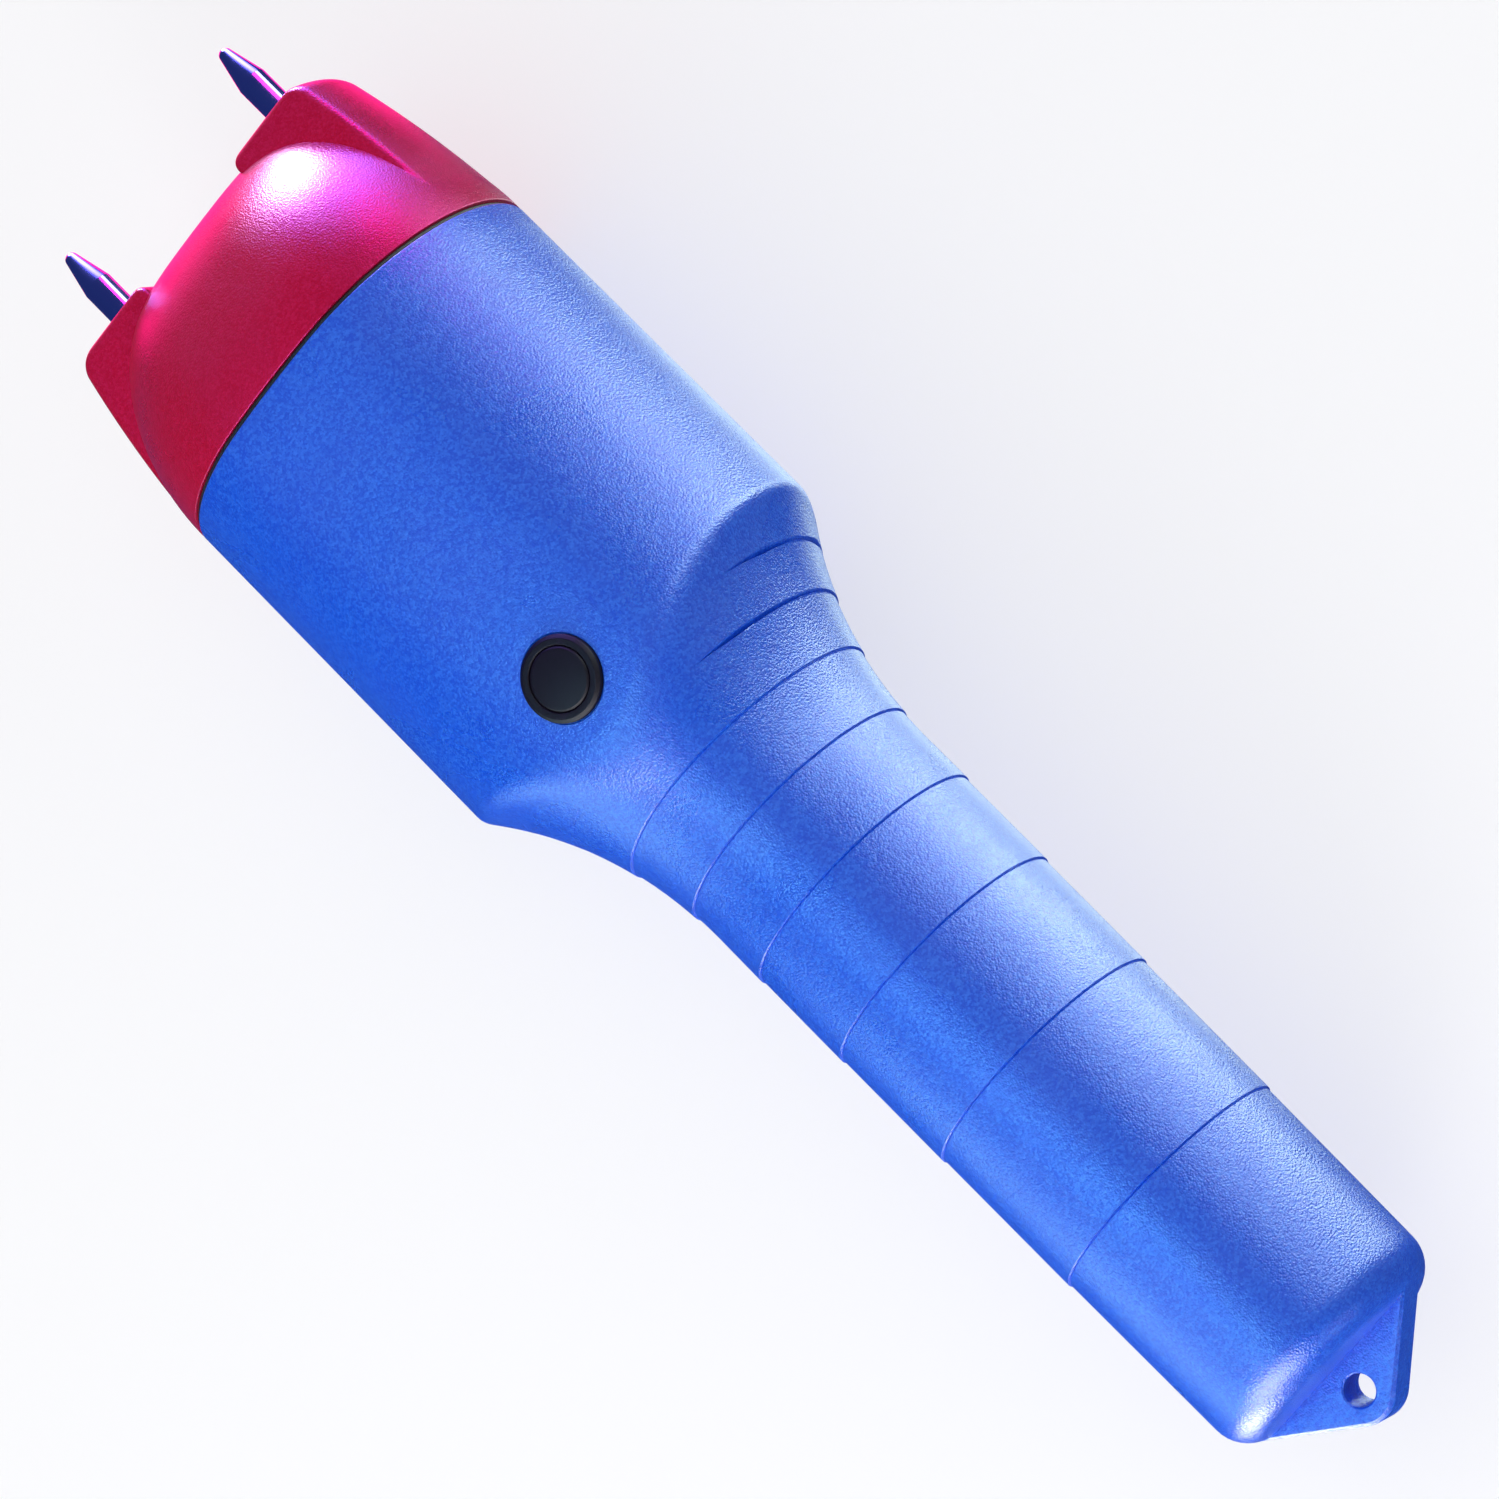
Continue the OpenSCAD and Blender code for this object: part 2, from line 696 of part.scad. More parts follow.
// Threaded bush of the push switch with the ring that shows round the button
module switch_bush() {
    color(black) placed() translate([button_x, 0, 0])
        difference() {
            union() {
                translate([0, 0, bush_base_z])
                    cylinder(h = bush_length + bezel_sink, r = bush_radius);
                translate([0, 0, bezel_seat_z])
                    cylinder(h = bezel_top_z - bezel_seat_z - bezel_chamfer[1], r = bezel_radius);
                translate([0, 0, bezel_top_z - bezel_chamfer[1]])
                    cylinder(h = bezel_chamfer[1], r1 = bezel_radius, r2 = bezel_radius - bezel_chamfer[0]);
            }
            translate([0, 0, bush_base_z - over])
                cylinder(h = bezel_top_z - bush_base_z + 2 * over, r = button_bore / 2);
        }
}
// Ring under the switch nut
module switch_washer() {
    color(steel) placed() translate([button_x, 0, nut_seat_z - washer_thickness])
        difference() {
            cylinder(h = washer_thickness, r = nut_across / 2 + washer_edge);
            translate([0, 0, -over])
                cylinder(h = washer_thickness + 2 * over, r = bush_radius + hole_gap);
        }
}
module switch_nut() {
    color(steel) placed() translate([button_x, 0, nut_seat_z - washer_thickness - nut_thickness])
        difference() {
            cylinder(h = nut_thickness, r = nut_across / 2 / cos(30), $fn = 6);
            translate([0, 0, -over])
                cylinder(h = nut_thickness + 2 * over, r = bush_radius + snug);
        }
}
// Contact chamber below the bush
module switch_body() {
    color(black) placed() translate([button_x, 0, 0])
        difference() {
            block([-switch_half, -switch_half, switch_base_z], [switch_half, switch_half, bush_base_z]);
            block([-chamber_half, -chamber_half, contact_z - terminal_thickness],
                [chamber_half, chamber_half, bush_base_z - switch_plate]);
            translate([0, 0, bush_base_z - switch_plate - over])
                cylinder(h = switch_plate + 2 * over, r = stem_radius + running_gap);
            for (s = [-1, 1])
                translate([s * terminal_offset, 0, 0])
                    block([-terminal_thickness / 2 - snug, -terminal_width / 2 - snug, switch_base_z - over],
                        [terminal_thickness / 2 + snug, terminal_width / 2 + snug, contact_z]);
        }
}
// Blade with a contact pad at its top and a solder tail
module terminal(s) {
    translate([button_x + s * terminal_offset, 0, 0]) {
        block([-terminal_thickness / 2, -terminal_width / 2, terminal_base_z],
            [terminal_thickness / 2, terminal_width / 2, contact_z]);
        block([-pad_half, -terminal_width / 2, contact_z - terminal_thickness],
            [pad_half, terminal_width / 2, contact_z]);
    }
}
module terminal_front() {
    color(brass) placed() terminal(1);
}
module terminal_rear() {
    color(brass) placed() terminal(-1);
}

// Push button with a softly domed top and a socket for its stem
dome_rise = 0.35;
socket_depth = 1.2;
cap_steps = 6;
module button_cap() {
    face = cap_radius - cap_edge;
    color(black) placed() translate([button_x, 0, 0])
        difference() {
            rotate_extrude()
                polygon(concat(
                    [[0, cap_base_z], [cap_radius, cap_base_z],
                        [cap_radius, cap_top_z - dome_rise - cap_edge]],
                    [for (i = [0 : cap_steps]) let (t = 1 - i / cap_steps)
                        [face * t, cap_top_z - dome_rise * t * t]]));
            translate([0, 0, cap_base_z - over])
                cylinder(h = socket_depth + over, r = stem_radius);
        }
}
module button_stem() {
    color(steel) placed() translate([button_x, 0, bridge_top_z - bridge_thickness])
        cylinder(h = cap_base_z + socket_depth - bridge_top_z + bridge_thickness, r = stem_radius);
}
// Brass disc that joins the two terminals when the button is down
module contact_bridge() {
    color(brass) placed() translate([button_x, 0, bridge_top_z - bridge_thickness])
        difference() {
            cylinder(h = bridge_thickness, r = bridge_radius);
            translate([0, 0, -over])
                cylinder(h = bridge_thickness + 2 * over, r = stem_radius);
        }
}
// Return spring between switch body and button
button_turns = 4;
button_path = wire_path([spring_radius, bush_base_z + spring_wire / 2 + snug],
    [spring_radius, cap_base_z - spring_wire / 2 - snug], button_turns);
module button_spring() {
    color(steel) placed() translate([button_x, 0, 0])
        wire(button_path, spring_wire);
}

// Disc that closes the battery bore and carries the front contact
module contact_carrier() {
    color(black) placed()
        difference() {
            translate([ledge_x, 0, 0])
                along_x()
                    cylinder(h = carrier_thickness, r = carrier_radius);
            translate([ledge_x - over, 0, 0])
                along_x()
                    cylinder(h = carrier_thickness + 2 * over, r = stem_radius + hole_gap);
            translate([carrier_front_x - carrier_recess, 0, 0])
                along_x()
                    difference() {
                        cylinder(h = carrier_recess + over, r = carrier_radius - carrier_rim);
                        translate([0, 0, -over])
                            cylinder(h = carrier_recess + 3 * over, r = carrier_hub);
                    }
            block([ledge_x - over, -strip_width / 2 - slip, -carrier_radius - over],
                [carrier_front_x + over, strip_width / 2 + slip, strip_z + strip_thickness + slip]);
        }
}
module front_contact() {
    contact_radius = 7;
    color(brass) placed() {
        translate([cell_front_x, 0, 0])
            along_x()
                cylinder(h = contact_thickness, r = contact_radius);
        translate([cell_front_x, 0, 0])
            along_x()
                cylinder(h = contact_thickness + carrier_thickness + stud_reach, r = stem_radius);
    }
}
// One cell with its raised stud to the head
module cell(x) {
    stud_height = 1.5;
    stud_radius = 4.7;
    edge = 0.8;
    r = cell_diameter / 2;
    top_x = x + cell_length - stud_height;
    turned([[x, 0], [x, r - edge], [x + edge, r], [top_x - edge, r], [top_x, r - edge], [top_x, stud_radius],
        [x + cell_length, stud_radius], [x + cell_length, 0]]);
}
module battery_front() {
    color(ferrite) placed() cell(cell_middle_x);
}
module battery_rear() {
    color(ferrite) placed() cell(cell_back_x);
}
// Conical tail spring, wide on its plate and narrow on the cell
tail_wire = 1;
tail_turns = 3;
tail_radii = [11, 6];
tail_ends = [tail_wire / 2 + snug, spring_room - tail_wire / 2 - snug];
tail_path = wire_path([tail_radii[0], tail_ends[0]], [tail_radii[1], tail_ends[1]], tail_turns);
module battery_spring() {
    color(steel) placed() translate([plate_x, 0, 0])
        along_x()
            wire(tail_path, tail_wire);
}
module tail_contact() {
    color(brass) placed() {
        translate([bore_end_x, 0, 0])
            along_x()
                cylinder(h = plate_thickness, r = bore_radius - slip);
        block([bore_end_x, -strip_width / 2, strip_z], [plate_x, strip_width / 2, -tail_radii[0]]);
    }
}
// Strip along the bore that brings the tail contact to the front
module return_strip() {
    color(brass) placed()
        block([plate_x, -strip_width / 2, strip_z],
            [strip_front_x, strip_width / 2, strip_z + strip_thickness]);
}

// Circuit board in the rails of the barrel
module circuit_board() {
    color(green) placed()
        block([board_back_x, -board_half, board_top_z - board_thickness],
            [board_front_x, board_half, board_top_z]);
}
// Coil: ferrite rod, bobbin with square ends, winding in three banks
core_gap = 0.15;
core_end = 1;
bobbin_wall = 1;
bobbin_radius = core_radius + core_gap + bobbin_wall;
flange_width = 1.5;
module along_y() {
    rotate([-90, 0, 0])
        children();
}
module transformer_core() {
    color(ferrite) placed() translate([coil_x, -coil_half - core_end, coil_z])
        along_y()
            cylinder(h = 2 * (coil_half + core_end), r = core_radius);
}
module transformer_bobbin() {
    color(cream) placed() translate([coil_x, 0, coil_z])
        difference() {
            union() {
                translate([0, -coil_half, 0])
                    along_y()
                        cylinder(h = 2 * coil_half, r = bobbin_radius);
                for (y = [-coil_half, coil_half - flange_width])
                    block([-coil_flange, y, -coil_flange], [coil_flange, y + flange_width, coil_flange]);
            }
            translate([0, -coil_half - over, 0])
                along_y()
                    cylinder(h = 2 * coil_half + 2 * over, r = core_radius + core_gap);
        }
}
module transformer_winding() {
    inner = bobbin_radius + snug;
    outer = coil_flange - bobbin_wall;
    half = coil_half - flange_width - snug;
    bank = 0.8;
    color(copper) placed() translate([coil_x, 0, coil_z])
        along_y()
            rotate_extrude()
                polygon([[inner, -half], [outer, -half], [outer, -half / 3 - bank], [outer - bank, -half / 3],
                    [outer, bank - half / 3], [outer, half / 3 - bank], [outer - bank, half / 3],
                    [outer, half / 3 + bank], [outer, half], [inner, half]]);
}
// Parts behind the coil
parts_back = 9;
parts_x = board_back_x + parts_back;
parts_edge = 13;
parts_y = board_half - parts_edge;
can_radius = 5;
diode_radius = 1.4;
parts_gap = 0.5;
diode_x = parts_x + can_radius + parts_gap + diode_radius;
module storage_capacitor() {
    height = 14;
    bevel = 0.6;
    rim = 1.4;
    dish = 0.3;
    color(black) placed() translate([parts_x, parts_y, board_top_z])
        rotate_extrude()
            polygon([[0, 0], [can_radius, 0], [can_radius, height - bevel], [can_radius - bevel, height],
                [can_radius - rim, height], [can_radius - rim, height - dish], [0, height - dish]]);
}
// Plastic body, metal tab behind it and three legs
module power_transistor() {
    half = 5;
    depth = 2.2;
    body = [3.5, 12.5];
    tab_top = 18.5;
    tab = 1.4;
    pitch = 2.54;
    leg = [0.4, 0.5];
    color(black) placed() translate([parts_x, -parts_y, board_top_z]) {
        block([-depth, -half, body[0]], [depth, half, body[1]]);
        block([depth - tab, -half, body[1] - tab], [depth, half, tab_top]);
        for (y = [-pitch, 0, pitch])
            block([-leg[0], y - leg[1], 0], [leg[0], y + leg[1], body[0] + leg[1]]);
    }
}
module rectifier_diode() {
    span = 5;
    height = 2.2;
    leg = 0.4;
    color(black) placed() translate([diode_x, 0, board_top_z]) {
        translate([0, -span / 2, height])
            along_y()
                cylinder(h = span, r = diode_radius);
        block([-leg, -span, height - leg], [leg, span, height + leg]);
        for (y = [-span, span - leg])
            block([-leg, y, 0], [leg, y + leg, height]);
    }
}
// Wires of the battery side; each end stops short of the piece it is soldered to
solder_gap = lead_radius + hole_gap;
pad_back = 3;
pad_half_pitch = 6;
lead_run = 6;
strip_end = 1;
module supply_lead() {
    start = [carrier_front_x + stud_reach + slip, 0, 0];
    end = [button_x - terminal_offset, 0, terminal_base_z - solder_gap];
    color(red) placed() lead([start, [end[0], 0, start[2]], end], lead_radius, [0, 1, 0]);
}
module switch_lead() {
    start = [button_x + terminal_offset, 0, terminal_base_z - solder_gap];
    end = [board_back_x + pad_back, pad_half_pitch, board_top_z + solder_gap];
    bends = [start - [0, 0, lead_run], end + [-pad_back, 0, lead_run]];
    color(red) placed() lead([start, bends[0], bends[1], end], lead_radius, [0, 1, 0]);
}
module return_lead() {
    start = [strip_front_x - strip_end, 0, strip_z + strip_thickness + solder_gap];
    end = [board_back_x + pad_back, -pad_half_pitch, board_top_z + solder_gap];
    bends = [start + [lead_run, 0, 0], end + [0, 0, lead_run]];
    color(black) placed() lead([start, bends[0], bends[1], end], lead_radius, [0, 1, 0]);
}

echo(button_spring_gap = wire_gap(button_path, spring_wire));
echo(battery_spring_gap = wire_gap(tail_path, tail_wire));

housing();
head_cap();
head_seal();
electrode_left();
electrode_right();
electrode_nut_left();
electrode_nut_right();
lead_tag_left();
lead_tag_right();
hv_lead_left();
hv_lead_right();
switch_bush();
switch_washer();
switch_nut();
switch_body();
terminal_front();
terminal_rear();
button_cap();
button_stem();
contact_bridge();
button_spring();
contact_carrier();
front_contact();
battery_front();
battery_rear();
battery_spring();
tail_contact();
return_strip();
circuit_board();
transformer_core();
transformer_bobbin();
transformer_winding();
storage_capacitor();
power_transistor();
rectifier_diode();
supply_lead();
switch_lead();
return_lead();
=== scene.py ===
"""Looks of a handheld cattle prodder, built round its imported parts.

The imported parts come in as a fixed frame. Each sub-assembly makes finer meshes for what is seen,
every part gets its finish, and the studio sets the camera, the light and the floor.
Sizes are millimetres in axis coordinates: x runs along the axis from the head seam to the
electrodes, y from electrode to electrode, z to the button side. Axis.place() brings a point into
the frame, in metres.
"""

import json
import logging
import math
from abc import ABC, abstractmethod
from collections.abc import Sequence
from dataclasses import KW_ONLY, dataclass, field
from enum import Enum

import bmesh
import bpy
from bpy.types import ID, Material, Node, NodeSocket, NodeTree, Object
from mathutils import Matrix, Vector


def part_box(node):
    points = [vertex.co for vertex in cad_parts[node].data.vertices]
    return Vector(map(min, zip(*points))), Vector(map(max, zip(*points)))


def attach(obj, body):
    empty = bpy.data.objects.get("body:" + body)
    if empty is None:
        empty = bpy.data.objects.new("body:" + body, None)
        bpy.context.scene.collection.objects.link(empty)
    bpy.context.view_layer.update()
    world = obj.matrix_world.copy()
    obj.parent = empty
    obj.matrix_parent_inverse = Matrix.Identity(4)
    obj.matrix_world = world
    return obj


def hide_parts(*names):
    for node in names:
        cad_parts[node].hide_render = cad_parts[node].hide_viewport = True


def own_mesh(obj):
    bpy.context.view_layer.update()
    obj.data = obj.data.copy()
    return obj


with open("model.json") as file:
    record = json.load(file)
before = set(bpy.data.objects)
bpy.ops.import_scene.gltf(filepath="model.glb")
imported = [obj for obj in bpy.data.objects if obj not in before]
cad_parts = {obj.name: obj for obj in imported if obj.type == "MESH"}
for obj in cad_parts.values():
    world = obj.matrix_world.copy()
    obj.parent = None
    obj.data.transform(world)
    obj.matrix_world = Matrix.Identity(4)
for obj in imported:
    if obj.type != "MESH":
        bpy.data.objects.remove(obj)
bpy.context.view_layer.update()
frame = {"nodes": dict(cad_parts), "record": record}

log = logging.getLogger("prodder")

MM = 0.001
SHARP_ANGLE = math.radians(38)
WELD = 0.001  # points closer than this become one
CLEAR = 1.0  # how far a cutter reaches past a face
QUARTER, TURN = math.pi / 2, 2 * math.pi
UNIT = (0.0, 1.0)
SIDES = ((1, "left"), (-1, "right"))

Point = tuple[float, float, float]
Ring = list[Point]
Profile = list[tuple[float, float]]
Screen = tuple[int, int, int]

WHITE: Screen = (255, 255, 255)
PALE_GREEN: Screen = (230, 255, 242)


class Body(Enum):
    """Bodies that the pieces ride on."""

    PRODDER = "prodder"
    BUTTON = "button"


class Slot(Enum):
    """Material slots of the record."""

    BLUE_SHELL = "blue_shell"
    RED_SHELL = "red_shell"
    BLACK_SEAL = "black_seal"
    POLISHED_STEEL = "polished_steel"
    PLATED_STEEL = "plated_steel"
    BLACK_PLASTIC = "black_plastic"
    BRASS_CONTACT = "brass_contact"
    CELL_JACKET = "cell_jacket"
    GREEN_BOARD = "green_board"
    GREY_FERRITE = "grey_ferrite"
    CREAM_BOBBIN = "cream_bobbin"
    COPPER_WINDING = "copper_winding"
    CAPACITOR_SLEEVE = "capacitor_sleeve"
    BLACK_RESIN = "black_resin"
    RED_WIRE = "red_wire"
    BLACK_WIRE = "black_wire"


class Carving(Enum):
    """Ways to work one solid into another."""

    JOIN = "UNION"
    CUT = "DIFFERENCE"


class Use(Enum):
    """What a soft box does: whether it lights surfaces and whether it shows in reflections."""

    FILL = (True, False)
    CARD = (False, True)


class Way(Enum):
    """Directions a turned piece runs in, each followed by the two directions across it."""

    ALONG = (Vector((1, 0, 0)), Vector((0, 1, 0)), Vector((0, 0, 1)))
    ACROSS = (Vector((0, 1, 0)), Vector((0, 0, 1)), Vector((1, 0, 0)))
    UP = (Vector((0, 0, 1)), Vector((1, 0, 0)), Vector((0, 1, 0)))


def mix(a: float, b: float, t: float) -> float:
    """Straight blend from a to b."""
    return a + (b - a) * t


def hold(value: float, low: float, high: float) -> float:
    """Value held between two limits."""
    return min(max(value, low), high)


def ease(t: float) -> float:
    """Soft step from 0 to 1."""
    t = hold(t, 0, 1)
    return t * t * (3 - 2 * t)


def soft_min(a: float, b: float, width: float) -> float:
    """Smaller of two values with a rounded change between them."""
    share = max(width - abs(a - b), 0) / width
    return min(a, b) - share * share * width / 4


def even(low: float, high: float, steps: int) -> list[float]:
    """Even values from low to high, with both ends."""
    return [mix(low, high, i / steps) for i in range(steps + 1)]


def spread(low: float, high: float, step: float) -> list[float]:
    """Even values from low to high, no further apart than step, with both ends."""
    return even(low, high, max(1, math.ceil(abs(high - low) / step)))


def around(count: int) -> list[float]:
    """Even directions all round."""
    return [TURN * i / count for i in range(count)]


def arc(centre: tuple[float, float], radius: float, first: float, last: float,
        steps: int) -> Profile:
    """Points of an arc from one direction to another."""
    return [(centre[0] + radius * math.cos(a), centre[1] + radius * math.sin(a))
            for a in even(first, last, steps)]


def eased(corners: Sequence[tuple[float, float, float]], steps: int = 5) -> Profile:
    """Rounds the corners of a profile.

    Args:
        corners: corners as (along, out, rounding radius); a radius of 0 stays sharp.
        steps: pieces in each rounding.

    Returns:
        The profile as (along, out) points.
    """
    points = [Vector(c[:2]) for c in corners]
    profile: Profile = []
    for i, corner in enumerate(corners):
        here, radius = points[i], corner[2]
        if radius == 0 or i in (0, len(corners) - 1):
            profile.append(tuple(here))
            continue
        back = (points[i - 1] - here).normalized()
        ahead = (points[i + 1] - here).normalized()
        half = back.angle(ahead) / 2
        centre = here + (back + ahead).normalized() * radius / math.sin(half)
        first = here + back * radius / math.tan(half) - centre
        last = here + ahead * radius / math.tan(half) - centre
        profile += [tuple(centre + first.lerp(last, t).normalized() * radius)
                    for t in even(0, 1, steps)]
    return profile


def broken_edge(face: float, radius: float, edge: float, proud: float = 0.0) -> Profile:
    """End of a cutter that breaks the edge of a hole in a face.

    Args:
        face: height of the face.
        radius: radius of the hole.
        edge: width of the broken edge.
        proud: how far past the face the edge gets its full width.

    Returns:
        The end of the cutter's profile.
    """
    top, wide = face + proud, radius + edge
    return [(top - edge, radius), (top, wide), (face + CLEAR, wide + CLEAR - proud)]


def linear(v: float) -> float:
    """Turns one channel of a screen's colour, 0 to 1, into the shader's linear value."""
    return v / 12.92 if v <= 0.04045 else ((v + 0.055) / 1.055) ** 2.4


def screen(colour: Screen) -> tuple[float, float, float, float]:
    """Turns a colour as seen on a screen, 0 to 255, into the shader's linear values."""
    return (*(linear(v / 255) for v in colour), 1.0)


def put(name: str, data: ID) -> Object:
    """Puts a new object into the scene."""
    placed = bpy.data.objects.new(name, data)
    bpy.context.scene.collection.objects.link(placed)
    return placed


@dataclass(frozen=True)
class Axis:
    """Axis of the prodder: where the head seam crosses it, in metres."""

    seam_x: float
    height: float

    @classmethod
    def of_frame(cls) -> "Axis":
        """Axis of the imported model, read from its seal."""
        low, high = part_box("head_seal")
        middle = (low + high) / 2
        return cls(middle.x, middle.z)

    def place(self, point: Sequence[float]) -> Vector:
        """Brings a point from axis coordinates into the frame."""
        x, y, z = point
        return Vector((self.seam_x + x * MM, y * MM, self.height + z * MM))


class Graph:
    """A node tree with short calls that add and join its nodes."""

    COLOUR_A, COLOUR_B, COLOUR_OUT = 6, 7, 2

    def __init__(self, tree: NodeTree) -> None:
        """Takes over a tree and empties it."""
        self.tree = tree
        tree.nodes.clear()

    def add(self, kind: str, inputs: dict | None = None, **settings: object) -> Node:
        """Adds a node.

        Args:
            kind: Blender's name for the node.
            inputs: input values by name or number; a socket is linked, anything else is set.
            settings: properties of the node.

        Returns:
            The new node.
        """
        node = self.tree.nodes.new(kind)
        for name, value in settings.items():
            setattr(node, name, value)
        for name, value in (inputs or {}).items():
            if isinstance(value, NodeSocket):
                self.tree.links.new(value, node.inputs[name])
            else:
                node.inputs[name].default_value = value
        return node

    def group(self, effect: NodeTree, inputs: dict | None = None) -> bpy.types.bpy_prop_collection:
        """Adds a shared effect and gives its outputs."""
        return self.add("ShaderNodeGroup", inputs, node_tree=effect).outputs

    def coords(self) -> NodeSocket:
        """Coordinates that stay with the piece, in metres."""
        return self.add("ShaderNodeTexCoord").outputs["Object"]

    def math(self, operation: str, a: object, b: object) -> NodeSocket:
        """Result of a sum on two values or sockets."""
        return self.add("ShaderNodeMath", {0: a, 1: b}, operation=operation).outputs[0]

    def vector(self, operation: str, inputs: dict, output: str = "Vector") -> NodeSocket:
        """Result of a sum on vectors."""
        return self.add("ShaderNodeVectorMath", inputs, operation=operation).outputs[output]

    def per_mm(self, size: NodeSocket) -> NodeSocket:
        """Scale of a texture whose features have a size in millimetres."""
        return self.math("DIVIDE", 1 / MM, size)

    def noise(self, vector: NodeSocket, scale: object, detail: float,
              distortion: float = 0.0) -> NodeSocket:
        """Noise at a place."""
        return self.add("ShaderNodeTexNoise", {
            "Vector": vector, "Scale": scale, "Detail": detail,
            "Distortion": distortion}).outputs["Fac"]

    def fit(self, value: NodeSocket, source: tuple, target: tuple, **settings: str) -> NodeSocket:
        """Value brought from one range to another and held there."""
        return self.add("ShaderNodeMapRange", {
            "Value": value, "From Min": source[0], "From Max": source[1],
            "To Min": target[0], "To Max": target[1]}, **settings).outputs["Result"]

    def tint(self, mask: NodeSocket, share: float, a: object, b: object) -> NodeSocket:
        """Colour a with a share of colour b where the mask is."""
        inputs = {0: self.math("MULTIPLY", mask, share), self.COLOUR_A: a, self.COLOUR_B: b}
        return self.add("ShaderNodeMix", inputs, data_type="RGBA").outputs[self.COLOUR_OUT]

    def surface(self, inputs: dict) -> None:
        """Ends the graph in the shader of a surface."""
        shader = self.add("ShaderNodeBsdfPrincipled", inputs)
        self.add("ShaderNodeOutputMaterial", {"Surface": shader.outputs["BSDF"]})


class SharedEffects:
    """Surface effects that several finishes use, each a node group built once."""

    PEBBLE_EDGE = 0.8  # distance from a pebble's middle to its foot, in grain sizes
    PEBBLE_SHARE, DUST_SHARE = 0.6, 0.4
    FLECK_BAND = (0.3, 0.85)
    FLAT = 0.52  # pointiness of a surface that is all but flat
    # Noise that breaks up the paler edges, which are partly wear and partly a painted highlight.
    RUB_BAND, RUB_SHARES = (0.3, 0.6), (0.35, 1.0)
    FILM_BAND, FILM_SWIRL = (0.32, 0.68), 0.4
    LINE_SCALE = 40.0  # scale of the tool marks along their lines, per metre

    def __init__(self) -> None:
        """Builds the four groups."""
        self.grain = self._fine_grain()
        # Paler outward edges: partly wear, partly a painted highlight.
        self.wear_and_highlight = self._edge_wear_and_highlight()
        self.film = self._hand_film()
        self.marks = self._tool_marks()

    @staticmethod
    def _open(name: str, inputs: dict[str, float], outputs: Sequence[str]) -> tuple[Graph, dict]:
        """Starts a group.

        Args:
            name: name of the group.
            inputs: its inputs with their usual values.
            outputs: names of its outputs.

        Returns:
            The group's graph, and the socket of each input.
        """
        tree = bpy.data.node_groups.new(name, "ShaderNodeTree")
        kind = "NodeSocketFloat"
        for label, value in inputs.items():
            socket = tree.interface.new_socket(name=label, in_out="INPUT", socket_type=kind)
            socket.default_value = value
        for label in outputs:
            tree.interface.new_socket(name=label, in_out="OUTPUT", socket_type=kind)
        graph = Graph(tree)
        given = graph.add("NodeGroupInput").outputs
        return graph, {label: given[label] for label in inputs}

    def _fine_grain(self) -> NodeTree:
        """Sandblasted grain: rounded pebbles with finer dust between them, and bright flecks.

        Returns:
            The group.
        """
        graph, given = self._open("FineGrain", {"Grain Size": 0.3}, ("Height", "Fleck"))
        scale, coords = graph.per_mm(given["Grain Size"]), graph.coords()
        inputs = {"Vector": coords, "Scale": scale}
        pebble = graph.add("ShaderNodeTexVoronoi", inputs, feature="F1").outputs
        dust = graph.noise(coords, scale, detail=2.0)
        round_top = graph.fit(pebble["Distance"], (0.0, self.PEBBLE_EDGE), (1.0, 0.0))
        height = graph.math("ADD", graph.math("MULTIPLY", round_top, self.PEBBLE_SHARE),
                            graph.math("MULTIPLY", dust, self.DUST_SHARE))
        fleck = graph.fit(pebble["Color"], self.FLECK_BAND, UNIT)
        graph.add("NodeGroupOutput", {"Height": height, "Fleck": fleck})
        return graph.tree

    def _edge_wear_and_highlight(self) -> NodeTree:
        """Outward corners made paler, broken up by noise: partly wear from handling, partly a
        painted highlight along the edges.

        Returns:
            The group.
        """
        graph, given = self._open("EdgeWearAndHighlight", {"Reach": 0.06, "Patch Size": 1.5}, ("Mask",))
        # Outward corners are painted paler: partly wear, partly a painted edge highlight.
        corner = graph.add("ShaderNodeNewGeometry").outputs["Pointiness"]
        edge = graph.fit(corner, (self.FLAT, graph.math("ADD", self.FLAT, given["Reach"])), UNIT)
        patch = graph.noise(graph.coords(), graph.per_mm(given["Patch Size"]), detail=3.0)
        paler = graph.fit(patch, self.RUB_BAND, self.RUB_SHARES)
        graph.add("NodeGroupOutput", {"Mask": graph.math("MULTIPLY", edge, paler)})
        return graph.tree

    def _hand_film(self) -> NodeTree:
        """Thin uneven film that hands leave: broad soft patches.

        Returns:
            The group.
        """
        graph, given = self._open("HandFilm", {"Patch Size": 20.0}, ("Mask",))
        patch = graph.noise(graph.coords(), graph.per_mm(given["Patch Size"]), detail=4.0,
                            distortion=self.FILM_SWIRL)
        graph.add("NodeGroupOutput", {"Mask": graph.fit(patch, self.FILM_BAND, UNIT)})
        return graph.tree

    def _tool_marks(self) -> NodeTree:
        """Marks left by a lathe or a rolling mill: fine lines across the axis.

        Returns:
            The group.
        """
        graph, given = self._open("ToolMarks", {"Pitch": 0.2}, ("Height",))
        stretch = graph.add("ShaderNodeCombineXYZ", {
            "X": graph.per_mm(given["Pitch"]), "Y": self.LINE_SCALE, "Z": self.LINE_SCALE})
        lines = graph.vector("MULTIPLY", {0: graph.coords(), 1: stretch.outputs["Vector"]})
        graph.add("NodeGroupOutput", {"Height": graph.noise(lines, scale=1.0, detail=3.0)})
        return graph.tree


